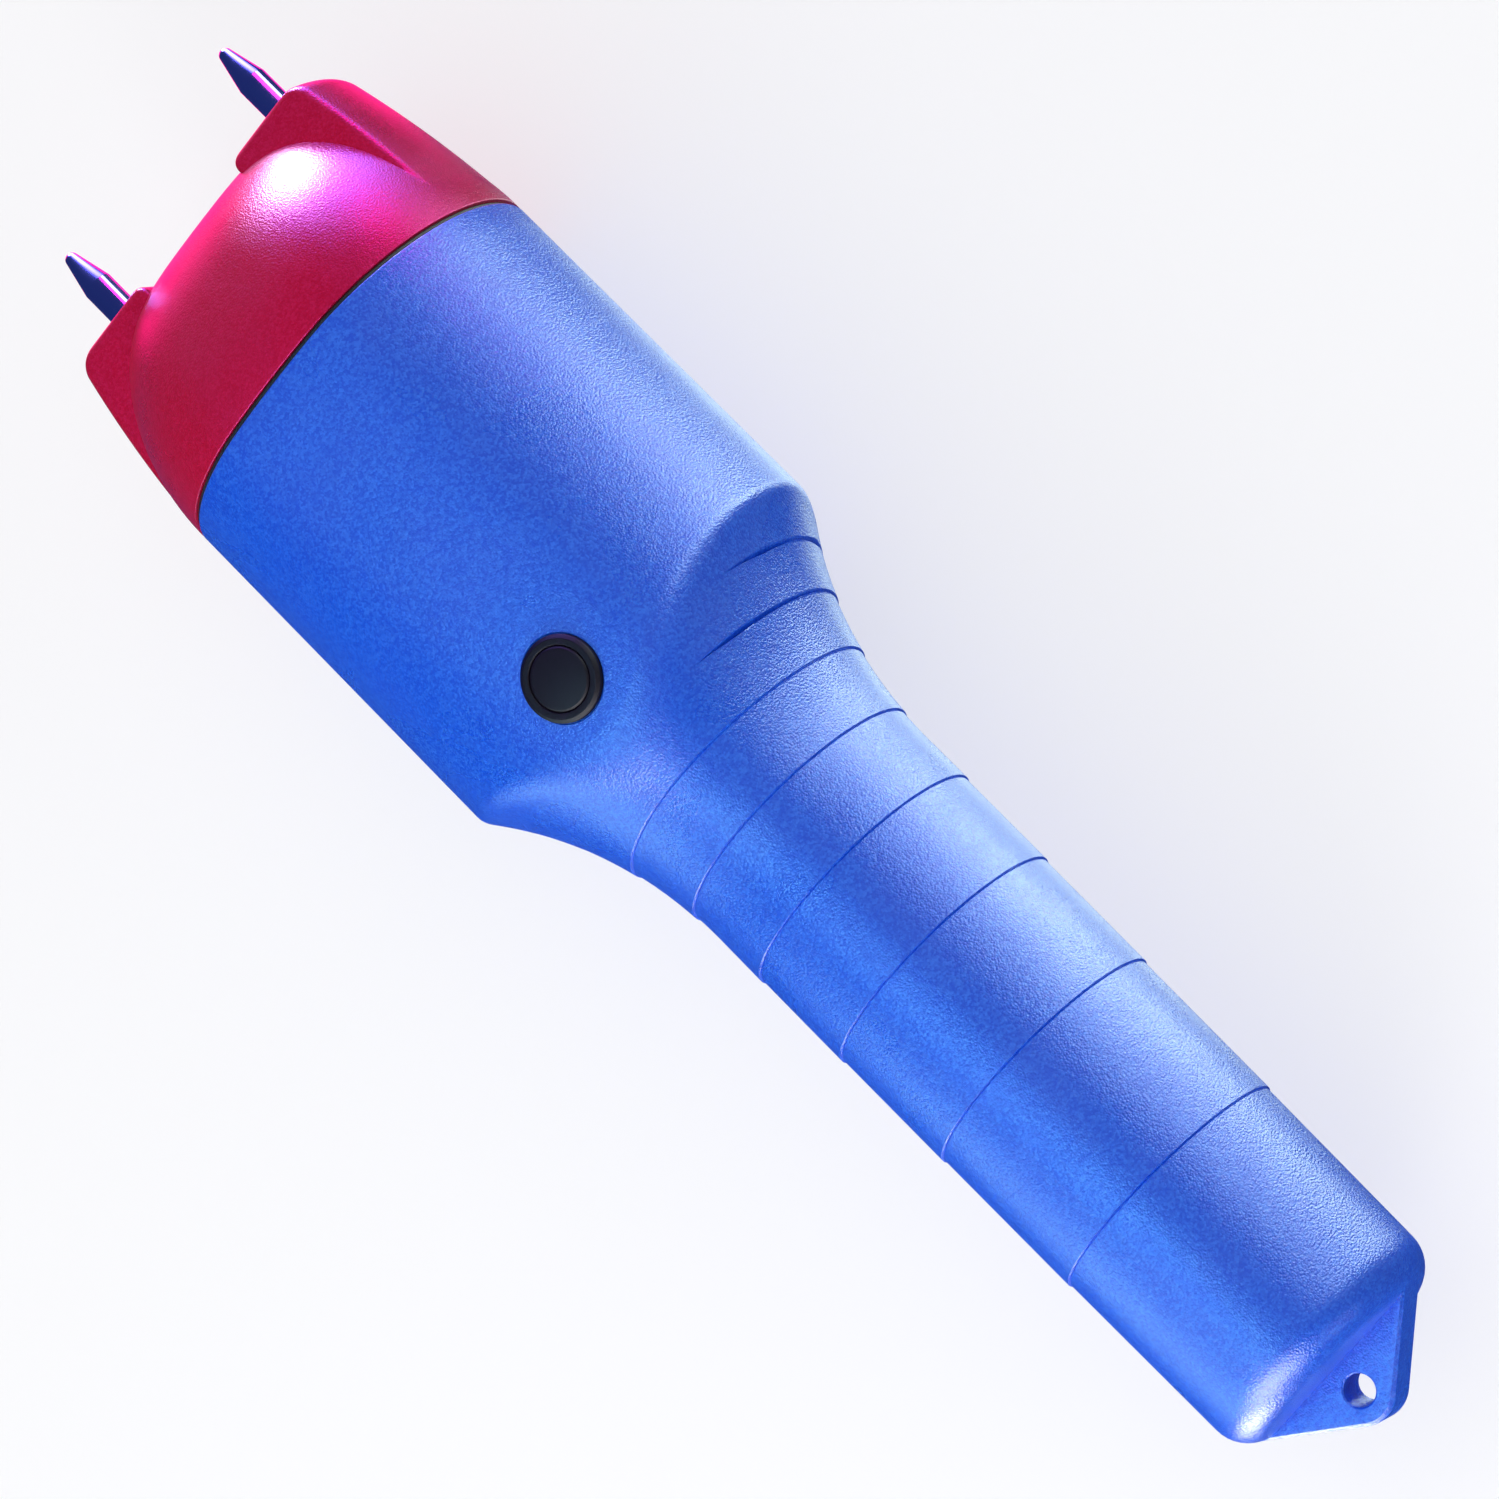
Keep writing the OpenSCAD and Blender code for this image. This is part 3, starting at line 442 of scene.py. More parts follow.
@dataclass(frozen=True)
class Finish(ABC):
    """What every finish has: slot, colour, gloss, film of the hands and relief in millimetres."""

    slot: Slot
    colour: Screen
    roughness: tuple[float, float]
    _: KW_ONLY
    film_share: float = 0.25
    film_size: float = 20.0
    relief: float = 0.02
    plain: dict = field(default_factory=dict)

    @abstractmethod
    def paint(self, graph: Graph, effects: SharedEffects,
              film: NodeSocket) -> tuple[NodeSocket, NodeSocket]:
        """Colours the surface.

        Args:
            graph: graph of the material.
            effects: the shared node groups.
            film: where the hands have left a film.

        Returns:
            The surface's colour and its height.
        """

    def material(self, effects: SharedEffects) -> Material:
        """Builds the material.

        Args:
            effects: the shared node groups.

        Returns:
            The finished material.
        """
        material = bpy.data.materials.new(f"{self.slot.value}_finish")
        material.use_nodes = True
        material.diffuse_color = screen(self.colour)
        graph = Graph(material.node_tree)
        film = graph.group(effects.film, {"Patch Size": self.film_size})["Mask"]
        colour, height = self.paint(graph, effects, film)
        bump = graph.add("ShaderNodeBump", {
            "Strength": 1.0, "Distance": self.relief * MM, "Height": height})
        graph.surface({
            "Base Color": colour, "Roughness": graph.fit(film, UNIT, self.roughness),
            "Normal": bump.outputs["Normal"], **self.plain})
        return material


@dataclass(frozen=True)
class Moulding(Finish):
    """Moulded plastic, rubber or lacquer with a grain."""

    # Paler colour for the flecks and for the edges; on the edges it is partly wear and partly a
    # painted highlight.
    paler: Screen
    film: Screen
    _: KW_ONLY
    grain: float = 0.3
    fleck: float = 0.25
    # Share of the paler edges: partly wear, partly a painted edge highlight.
    wear_and_highlight: float = 0.5

    def paint(self, graph: Graph, effects: SharedEffects,
              film: NodeSocket) -> tuple[NodeSocket, NodeSocket]:
        """Paints flecks, the film over them and paler edges, which are partly wear and partly a
        painted highlight.

        Args:
            graph: graph of the material.
            effects: the shared node groups.
            film: where the hands have left a film.

        Returns:
            The colour, and the height of the grain.
        """
        grain = graph.group(effects.grain, {"Grain Size": self.grain})
        paler = screen(self.paler)
        colour = graph.tint(grain["Fleck"], self.fleck, screen(self.colour), paler)
        colour = graph.tint(film, self.film_share, colour, screen(self.film))
        # Painted highlight along outward edges, mixed with wear: the edges are tinted paler.
        if self.wear_and_highlight:
            colour = graph.tint(graph.group(effects.wear_and_highlight)["Mask"], self.wear_and_highlight, colour, paler)
        return colour, grain["Height"]


@dataclass(frozen=True)
class BareMetal(Finish):
    """Turned, rolled or plated metal."""

    dull: Screen
    _: KW_ONLY
    pitch: float = 0.2
    film_share: float = 0.3
    film_size: float = 6.0
    relief: float = 0.003
    plain: dict = field(default_factory=lambda: {"Metallic": 1.0})

    def paint(self, graph: Graph, effects: SharedEffects,
              film: NodeSocket) -> tuple[NodeSocket, NodeSocket]:
        """Paints the metal dull under the film, on the height of the tool marks."""
        colour = graph.tint(film, self.film_share, screen(self.colour), screen(self.dull))
        return colour, graph.group(effects.marks, {"Pitch": self.pitch})["Height"]


FINISHES: tuple[Finish, ...] = (
    Moulding(Slot.BLUE_SHELL, (0, 72, 206), (0.26, 0.32), (56, 136, 250), (8, 58, 196),
             grain=0.34, relief=0.07, fleck=0.42, wear_and_highlight=0.0, plain={"Specular IOR Level": 0.6}),
    Moulding(Slot.RED_SHELL, (168, 6, 32), (0.26, 0.36), (214, 40, 100), (146, 16, 46),
             grain=0.32, relief=0.05, wear_and_highlight=0.0,
             plain={"Specular IOR Level": 0.9, "Specular Tint": (0.95, 0.1, 0.65, 1.0)}),
    Moulding(Slot.BLACK_SEAL, (14, 14, 16), (0.55, 0.7), (46, 46, 50), (24, 24, 26), wear_and_highlight=0.2),
    Moulding(Slot.BLACK_PLASTIC, (6, 2, 10), (0.46, 0.56), (34, 18, 46), (13, 5, 20),
             grain=0.2, relief=0.006, fleck=0.12, wear_and_highlight=0.2, plain={"Specular IOR Level": 0.2}),
    Moulding(Slot.GREEN_BOARD, (24, 84, 48), (0.3, 0.45), (150, 140, 70), (30, 100, 60),
             grain=1.2, relief=0.01, fleck=0.6, wear_and_highlight=0.3),
    Moulding(Slot.GREY_FERRITE, (58, 58, 62), (0.5, 0.65), (92, 92, 98), (44, 44, 48),
             grain=0.15),
    Moulding(Slot.CREAM_BOBBIN, (226, 214, 178), (0.35, 0.5), (244, 238, 214), (206, 192, 150),
             grain=0.6, relief=0.008),
    Moulding(Slot.CAPACITOR_SLEEVE, (30, 34, 74), (0.22, 0.34), (84, 90, 140), (40, 46, 92),
             grain=0.8, relief=0.006),
    Moulding(Slot.BLACK_RESIN, (26, 26, 28), (0.45, 0.6), (60, 60, 64), (36, 36, 38), grain=0.15),
    Moulding(Slot.RED_WIRE, (190, 24, 28), (0.3, 0.42), (226, 80, 84), (160, 18, 24),
             grain=0.5, relief=0.006),
    Moulding(Slot.BLACK_WIRE, (22, 22, 26), (0.3, 0.42), (70, 70, 78), (34, 34, 38),
             grain=0.5, relief=0.006),
    Moulding(Slot.CELL_JACKET, (64, 70, 82), (0.24, 0.36), (150, 156, 168), (84, 90, 104),
             grain=1.5, relief=0.004, plain={"Metallic": 0.4}),
    BareMetal(Slot.POLISHED_STEEL, (160, 176, 222), (0.1, 0.2), (118, 132, 190),
              pitch=0.15, relief=0.002),
    BareMetal(Slot.PLATED_STEEL, (186, 188, 194), (0.25, 0.4), (150, 150, 158)),
    BareMetal(Slot.BRASS_CONTACT, (214, 176, 96), (0.25, 0.42), (170, 130, 62)),
    BareMetal(Slot.COPPER_WINDING, (190, 104, 62), (0.25, 0.38), (150, 70, 38)),
)


class Workshop:
    """Makes pieces in axis coordinates, dresses them and ties them to the frame."""

    def __init__(self, axis: Axis) -> None:
        """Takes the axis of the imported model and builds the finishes."""
        self.axis, effects = axis, SharedEffects()
        self.finishes = {finish.slot: finish.material(effects) for finish in FINISHES}

    def skin(self, name: str, rings: Sequence[Ring], ends: tuple = (None, None),
             looped: bool = False) -> Object:
        """Closed skin through rings of points.

        Args:
            name: name of the piece.
            rings: rings with the same number of points.
            ends: points that close the first and the last ring; None takes the ring's middle.
            looped: True joins the last ring to the first, with no ends.

        Returns:
            The new piece.
        """
        count, last = len(rings[0]), len(rings) - 1
        points = [self.axis.place(p) for ring in rings for p in ring]
        steps = [(j, (j + 1) % count) for j in range(count)]
        pairs = [(i, i + 1) for i in range(last)] + ([(last, 0)] if looped else [])
        faces = [(a * count + j, a * count + k, b * count + k, b * count + j)
                 for a, b in pairs for j, k in steps]
        for start, end in () if looped else ((0, ends[0]), (last, ends[1])):
            middle = end or [sum(v) / count for v in zip(*rings[start])]
            faces += [(len(points), start * count + j, start * count + k) for j, k in steps]
            points.append(self.axis.place(middle))
        mesh = bpy.data.meshes.new(name)
        mesh.from_pydata(points, [], faces)
        piece = put(name, mesh)
        self.clean(piece)
        return piece

    @staticmethod
    def clean(piece: Object) -> None:
        """Welds doubled points, turns all faces outward and shades smooth up to sharp edges.

        Args:
            piece: piece that is worked on.
        """
        work = bmesh.new()
        work.from_mesh(piece.data)
        bmesh.ops.remove_doubles(work, verts=work.verts, dist=WELD * MM)
        bmesh.ops.dissolve_degenerate(work, edges=work.edges, dist=WELD * MM)
        bmesh.ops.recalc_face_normals(work, faces=work.faces)
        work.to_mesh(piece.data)
        work.free()
        piece.data.shade_smooth()
        piece.data.set_sharp_from_angle(angle=SHARP_ANGLE)

    def turned(self, name: str, profile: Profile, way: Way, centre: Point, steps: int = 96,
               looped: bool = False) -> Object:
        """Piece turned from a profile.

        Args:
            name: name of the piece.
            profile: points as (along, radius); a radius of 0 at an end is a pole.
            way: direction of the axis of turning.
            centre: point of that axis that the profile is measured from.
            steps: points round the axis.
            looped: True for a profile that closes on itself, as a ring's does.

        Returns:
            The new piece.
        """
        along, first, second = way.value
        origin = Vector(centre)
        ends = [None if looped or radius else tuple(origin + along * u)
                for u, radius in (profile[0], profile[-1])]
        arms = [first * math.cos(a) + second * math.sin(a) for a in around(steps)]
        rings = [[tuple(origin + along * u + arm * r) for arm in arms] for u, r in profile if r > 0]
        return self.skin(name, rings, tuple(ends), looped)

    def block(self, name: str, low: Point, high: Point) -> Object:
        """Plain block between its lowest and its highest corner, used as a cutter."""
        (x0, y0, z0), (x1, y1, z1) = low, high
        return self.skin(name, [[(x, y0, z0), (x, y1, z0), (x, y1, z1), (x, y0, z1)]
                                for x in (x0, x1)])

    def tube(self, name: str, path: Sequence[Vector], radius: float, sides: int = 12) -> Object:
        """Round wire along a path.

        Args:
            name: name of the piece.
            path: points of its middle line.
            radius: radius of the wire.
            sides: points round the wire.

        Returns:
            The new piece.
        """
        last = len(path) - 1
        runs = [(path[min(i + 1, last)] - path[max(i - 1, 0)]).normalized()
                for i in range(last + 1)]
        across = runs[0].orthogonal().normalized()
        rings: list[Ring] = []
        for point, run in zip(path, runs):
            across = (across - run * across.dot(run)).normalized()
            other = run.cross(across)
            arms = [across * math.cos(a) + other * math.sin(a) for a in around(sides)]
            rings.append([tuple(point + arm * radius) for arm in arms])
        return self.skin(name, rings)

    @staticmethod
    def gather(pieces: Sequence[Object]) -> Object:
        """Joins separate closed pieces.

        Args:
            pieces: the pieces.

        Returns:
            The first of them, which holds all.
        """
        work = bmesh.new()
        for piece in pieces:
            work.from_mesh(piece.data)
        work.to_mesh(pieces[0].data)
        work.free()
        for piece in pieces[1:]:
            bpy.data.objects.remove(piece)
        return pieces[0]

    def carve(self, piece: Object, tool: Object, how: Carving) -> None:
        """Works a tool into a piece and throws the tool away.

        Args:
            piece: piece that is worked on.
            tool: solid that is joined to it or cut from it.
            how: which of the two.
        """
        change = piece.modifiers.new("carving", "BOOLEAN")
        change.operation = how.value
        change.solver = "EXACT"
        change.object = tool
        bpy.context.view_layer.update()
        seen = piece.evaluated_get(bpy.context.evaluated_depsgraph_get())
        mesh = bpy.data.meshes.new_from_object(seen)
        piece.modifiers.clear()
        piece.data = mesh
        bpy.data.objects.remove(tool)
        self.clean(piece)

    def dress(self, piece: Object, slot: Slot) -> None:
        """Gives a piece its finish."""
        piece.data.materials.clear()
        piece.data.materials.append(self.finishes[slot])

    def fit(self, piece: Object, slot: Slot, body: Body, *nodes: str) -> None:
        """Dresses a piece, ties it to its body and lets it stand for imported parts.

        Args:
            piece: the finished piece.
            slot: finish that it wears.
            body: body that it rides on.
            nodes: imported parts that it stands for.
        """
        self.dress(piece, slot)
        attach(piece, body.value)
        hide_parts(*nodes)
        faces = len(piece.data.polygons)
        log.info("%s: %d faces, stands for %s", piece.name, faces, ", ".join(nodes))

    def dress_parts(self) -> None:
        """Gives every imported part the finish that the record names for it."""
        for part in frame["record"]["subparts"]:
            self.dress(frame["nodes"][part["node"]], Slot(part["material_slot"]))
            log.info("%s: dressed in %s", part["node"], part["material_slot"])


@dataclass(frozen=True)
class Fits:
    """Sizes that neighbouring pieces share."""

    seam_gap: float = 0.35
    wall: float = 2.8
    button_x: float = -64.15
    bezel_seat: float = 28.6
    electrode_y: float = 21.0
    electrode_radius: float = 2.5


FITS = Fits()


@dataclass(frozen=True)
class BarrelOutline:
    """Outline of the barrel in polar form: round sides, nearly flat front and back."""

    half_width: float = 35.2
    half_depth: float = 29.0
    crown: float = 0.3
    points: int = 192

    @property
    def side_radius(self) -> float:
        """Radius of the round sides."""
        return self.half_depth - self.crown

    @property
    def side_centre(self) -> float:
        """Distance from the axis to the centre of a round side."""
        return self.half_width - self.side_radius

    def radius(self, angle: float, inset: float = 0.0) -> float:
        """Distance from the axis to the outline.

        Args:
            angle: direction round the axis.
            inset: how far the outline is moved inward.

        Returns:
            The distance in that direction.
        """
        centre = self.side_centre
        drop = (centre ** 2 - self.crown ** 2) / (2 * self.crown)
        meet = math.atan2(drop, centre)
        reach = self.side_radius - inset
        c, s = abs(math.cos(angle)), abs(math.sin(angle))
        if math.atan2(s, c) <= math.atan2(reach * math.sin(meet), centre + reach * math.cos(meet)):
            return centre * c + math.sqrt(reach ** 2 - (centre * s) ** 2)
        front = self.half_depth + drop - inset
        return math.sqrt(front ** 2 - (drop * c) ** 2) - drop * s

    def ring(self, x: float, inset: float = 0.0) -> Ring:
        """Ring of the outline at one station."""
        return self.polar(x, [self.radius(a, inset) for a in around(self.points)])

    def polar(self, x: float, radii: Sequence[float]) -> Ring:
        """Ring at one station with a given distance in each direction."""
        return [(x, r * math.cos(a), r * math.sin(a)) for a, r in zip(around(self.points), radii)]

    def circle(self, x: float, radius: float) -> Ring:
        """Round ring at one station, with as many points as the outline."""
        return self.polar(x, [radius] * self.points)


@dataclass(frozen=True)
class GripRings:
    """Stepped rings round the flare and the grip, each with a fine groove at its foot."""

    start: float = -69.8
    pitch: float = 7.4
    growth: float = 1.235
    count: int = 8
    height: float = 0.24
    depth: float = 0.27
    half_width: float = 0.18
    fade_angles: tuple[float, ...] = (36.0, 60.0)
    fade_band: float = 18.0
    fading_depth: float = 1.3
    fading_half: float = 0.32
    left_share: float = 0.12
    offsets: tuple[float, ...] = (0.5, 1.0, 1.6, 2.6)
    fading_offsets: tuple[float, ...] = (
        0.125, 0.25, 0.375, 0.5, 0.625, 0.75, 0.875, 1.0, 1.6, 2.6)

    def station(self, i: int) -> float:
        """Place of ring i along the axis."""
        return self.start - self.pitch * (self.growth ** i - 1) / (self.growth - 1)

    def fades(self, i: int) -> bool:
        """Whether ring i runs out before it reaches the front."""
        return i < len(self.fade_angles)

    def reach(self, i: int) -> float:
        """Half the width of the groove of ring i."""
        return self.fading_half if self.fades(i) else self.half_width

    def rest(self, i: int, from_side: float, left: bool) -> tuple[float, float]:
        """What is left of a ring.

        Args:
            i: number of the ring.
            from_side: angle from the side, in degrees.
            left: True on the left electrode's side.

        Returns:
            Share of its step and depth of its groove, which is deepest shortly before it runs out.
        """
        if not self.fades(i):
            return 1.0, self.depth
        end = self.fade_angles[i]
        share = hold((end - from_side) / self.fade_band, 0, 1) * (self.left_share if left else 1)
        run = hold(from_side / (end - self.fade_band), 0, 1)
        return share, mix(self.depth, self.fading_depth, run) * share

    def lift(self, x: float, from_side: float, left: bool, ends: tuple[float, float]) -> float:
        """Ring offset of the surface.

        Args:
            x: station.
            from_side: angle from the side, in degrees.
            left: True on the left electrode's side.
            ends: stations before the first and behind the last ring where the offset dies out.

        Returns:
            How far the surface stands out; each band rises towards its tail end.
        """
        stations = [self.station(i) for i in range(self.count)]
        rests = [self.rest(i, from_side, left) for i in range(self.count)]
        lips = [self.height / 2 * share for share, _ in rests]
        for i, place in enumerate(stations):
            along = (x - place) / self.reach(i)
            if abs(along) <= 1:
                step = mix(-lips[i], lips[i], ease((along + 1) / 2))
                deepest = self.fading_depth if self.fades(i) else self.depth
                return step - max(rests[i][1] - deepest * abs(along), 0)
        above = [i for i, place in enumerate(stations) if place > x]
        below = [i for i, place in enumerate(stations) if place < x]
        high, high_lift, low, low_lift = ends[0], 0.0, ends[1], 0.0
        if above:
            high, high_lift = stations[above[-1]] - self.reach(above[-1]), -lips[above[-1]]
        if below:
            low, low_lift = stations[below[0]] + self.reach(below[0]), lips[below[0]]
        return mix(low_lift, high_lift, hold((x - low) / (high - low), 0, 1))

    def stations(self) -> list[float]:
        """Stations that follow each step closely.

        Returns:
            The stations, in no order.
        """
        places = []
        for i in range(self.count):
            offsets = self.fading_offsets if self.fades(i) else self.offsets
            places += [self.station(i) + k * side * self.reach(i)
                       for k in offsets for side, _ in SIDES]
            places.append(self.station(i))
        return places


@dataclass
class Assembly(ABC):
    """A sub-assembly and the workshop that makes it."""

    shop: Workshop

    @abstractmethod
    def build(self) -> None:
        """Builds and dresses the pieces."""


@dataclass
class Housing(Assembly):
    """Blue moulding: oval barrel, flare, ringed grip, rounded tail and lanyard lug."""

    outline: BarrelOutline
    rings: GripRings = field(default_factory=GripRings)
    rim_round: float = 0.4
    shoulder_x: float = -62.6
    shoulder_blend: float = 0.6
    blend_growth: float = 3.0
    tongue_reach: float = 5.0
    tongue_power: int = 4
    crease_length: float = 7.0
    flare_radius: float = 68.0
    flare_share: float = 0.94
    flare_x: float = -103.53
    grip_radius: float = 21.5
    tail_radius: float = 20.0
    tail_round: float = 6.0
    tail_x: float = -212.3
    tail_shares: tuple[float, ...] = (0.3, 0.7)
    cavity_back: float = -57.0
    cone_radius: float = 25.2
    pocket_x: float = -73.6
    pocket_radius: float = 19.6
    ledge_x: float = -78.2
    bore_radius: float = 17.5
    bore_end: float = -208.3
    lug_thickness: float = 7.0
    lug_bevel: float = 0.6
    lug_edge: float = 0.15
    lug_ridge: float = 0.3
    lug_face: float = 1.0
    lug_round: float = 5.4
    lug_root: float = 0.6
    lug_corner: tuple[float, float] = (-210.3, 18.3)
    hole_x: float = -217.1
    hole_radius: float = 2.5
    hole_edge: float = 0.25
    nut_base: float = 10.0
    nut_top: float = 24.6
    nut_radius: float = 9.5
    bush_hole: float = 5.85
    recess_radius: float = 6.7
    recess_edge: float = 0.3
    recess_proud: float = 0.02
    strip_half: float = 2.8
    strip_depth: float = 18.5
    strip_gap: float = 0.3
    # Spacing of the stations, which lie close together about the shoulder.
    grip_step: float = 2.5
    close_step: float = 0.4
    barrel_step: float = 5.0
    room_step: float = 8.0
    bore_step: float = 12.0
    first_step: float = 1.0
    close_behind: float = 22.0
    close_ahead: float = 12.0
    station_gap: float = 0.15
    # Pieces of the curves.
    tail_steps: int = 10
    rim_steps: int = 6
    tip_steps: int = 32
    flank_steps: int = 16
    hole_steps: int = 64

    @property
    def round_x(self) -> float:
        """Station where the rounding of the tail begins."""
        return self.tail_x + self.tail_round

    def grip_base(self, x: float) -> float:
        """Radius of the flare and grip without rings.

        Args:
            x: station.

        Returns:
            The radius there.
        """
        rise = hold(x - self.flare_x, 0, self.flare_share * self.flare_radius)
        flare = self.flare_radius - math.sqrt(self.flare_radius ** 2 - rise ** 2)
        taper = self.grip_radius - self.tail_radius
        drop = taper * max(self.flare_x - x, 0) / (self.flare_x - self.round_x)
        return self.grip_radius + flare - drop

    def shell_radius(self, x: float, angle: float) -> float:
        """Distance from the axis to the outer surface.

        Args:
            x: station.
            angle: direction round the axis.

        Returns:
            The distance; barrel and flare meet in a soft edge that reaches further down in front.
        """
        lean = abs(math.sin(angle))
        from_side = math.degrees(math.asin(min(lean, 1.0)))
        ends = (self.shoulder_x + self.crease_length, self.round_x)
        lift = self.rings.lift(x, from_side, math.cos(angle) > 0, ends)
        grip = self.grip_base(x + self.tongue_reach * lean ** self.tongue_power) + lift
        blend = self.shoulder_blend * (1 + self.blend_growth * lean * lean)
        return soft_min(self.outline.radius(angle), grip, blend)

    def outer_rings(self) -> list[Ring]:
        """Rings of the outer surface.

        Returns:
            The rings from tail to seam.
        """
        out = self.outline
        flat = self.tail_radius - self.tail_round
        rings = [out.circle(self.tail_x, flat * share) for share in self.tail_shares]
        rings += [out.circle(x, radius) for x, radius in arc(
            (self.round_x, flat), self.tail_round, math.pi, QUARTER, self.tail_steps)]
        back, ahead = self.shoulder_x - self.close_behind, self.shoulder_x + self.close_ahead
        plain = spread(self.round_x + self.first_step, back, self.grip_step)[:-1]
        plain += spread(back, ahead, self.close_step)[:-1]
        plain += spread(ahead, -FITS.seam_gap - self.rim_round, self.barrel_step)
        close = self.rings.stations()
        free = [x for x in plain if min(abs(x - c) for c in close) > self.station_gap]
        directions = around(out.points)
        return rings + [out.polar(x, [self.shell_radius(x, a) for a in directions])
                        for x in sorted(close + free)]

    def inner_rings(self) -> list[Ring]:
        """Rings of the rim and of the room inside.

        Returns:
            The rings from seam to tail.
        """
        out, rim, face, wall = self.outline, self.rim_round, -FITS.seam_gap, FITS.wall
        rings = [out.ring(x, inset) for x, inset in arc(
            (face - rim, rim), rim, -QUARTER, 0, self.rim_steps)[1:]]
        rings.append(out.ring(face, wall))
        rings += [out.ring(x, wall)
                  for x in spread(face - self.first_step, self.cavity_back, self.room_step)]
        rings.append(out.circle(self.cavity_back, self.cone_radius))
        rings += [out.circle(x, self.pocket_radius) for x in (self.pocket_x, self.ledge_x)]
        return rings + [out.circle(x, self.bore_radius)
                        for x in spread(self.ledge_x, self.bore_end, self.bore_step)]

    def lug_ring(self, z: float, inset: float) -> Ring:
        """Outline of the lug at one height.

        Args:
            z: height over the axis.
            inset: how far the outline is moved inward there.

        Returns:
            The ring: two straight flanks and a round tip about the hole.
        """
        corner = Vector(self.lug_corner) - Vector((0, inset))
        reach = self.lug_round - inset
        arm = corner - Vector((self.hole_x, 0))
        flank = math.atan2(arm.y, arm.x) + math.acos(reach / arm.length)
        tip = arc((self.hole_x, 0), reach, flank, TURN - flank, self.tip_steps)
        shares = even(0, 1, self.flank_steps)[:-1]
        upper = [tuple(corner.lerp(Vector(tip[0]), share)) for share in shares]
        lower = [(x, -y) for x, y in reversed(upper)]
        back = [(self.round_x - self.lug_root, y) for y in (-corner.y, corner.y)]
        return [(x, y, z) for x, y in upper + tip + lower + back]

    def lug(self) -> Object:
        """Lanyard lug with bevelled, slightly rounded edges.

        Returns:
            The lug, still without its hole.
        """
        half, bevel = self.lug_thickness / 2, self.lug_bevel
        upper = [(half, bevel + self.lug_face, 0), (half, bevel, self.lug_edge),
                 (half - bevel, 0, self.lug_ridge)]
        lower = [(-z, inset, radius) for z, inset, radius in reversed(upper)]
        rings = [self.lug_ring(z, inset) for z, inset in eased(upper + lower)]
        return self.shop.skin("lug", rings)

    def lanyard_cutter(self) -> Object:
        """Cutter for the lanyard hole.

        Returns:
            The cutter, which breaks the hole's edge on both faces.
        """
        upper = broken_edge(self.lug_thickness / 2, self.hole_radius, self.hole_edge)
        profile = [(-z, radius) for z, radius in reversed(upper)] + upper
        centre = (self.hole_x, 0, 0)
        return self.shop.turned("lanyard_cutter", profile, Way.UP, centre, self.hole_steps)

    def switch_cutter(self) -> Object:
        """Cutter for the switch.

        Returns:
            The cutter: nut flat inside, plain hole, recess with a broken edge outside.
        """
        seat = FITS.bezel_seat
        profile = [(self.nut_base, self.nut_radius), (self.nut_top, self.nut_radius),
                   (self.nut_top, self.bush_hole), (seat, self.bush_hole),
                   (seat, self.recess_radius)]
        profile += broken_edge(self.outline.half_depth, self.recess_radius, self.recess_edge,
                               self.recess_proud)
        return self.shop.turned("switch_cutter", profile, Way.UP, (FITS.button_x, 0, 0))

    def build(self) -> None:
        """Builds and dresses the housing."""
        rings = self.outer_rings() + self.inner_rings()
        ends = ((self.tail_x, 0, 0), (self.bore_end, 0, 0))
        housing = self.shop.skin("housing_shell", rings, ends)
        self.shop.carve(housing, self.lug(), Carving.JOIN)
        low = (self.bore_end + self.strip_gap, -self.strip_half, -self.strip_depth)
        high = (self.ledge_x + CLEAR, self.strip_half, -self.bore_radius / 2)
        channel = self.shop.block("strip_channel", low, high)
        for cutter in (self.lanyard_cutter(), self.switch_cutter(), channel):
            self.shop.carve(housing, cutter, Carving.CUT)
        self.shop.fit(housing, Slot.BLUE_SHELL, Body.PRODDER, "housing")


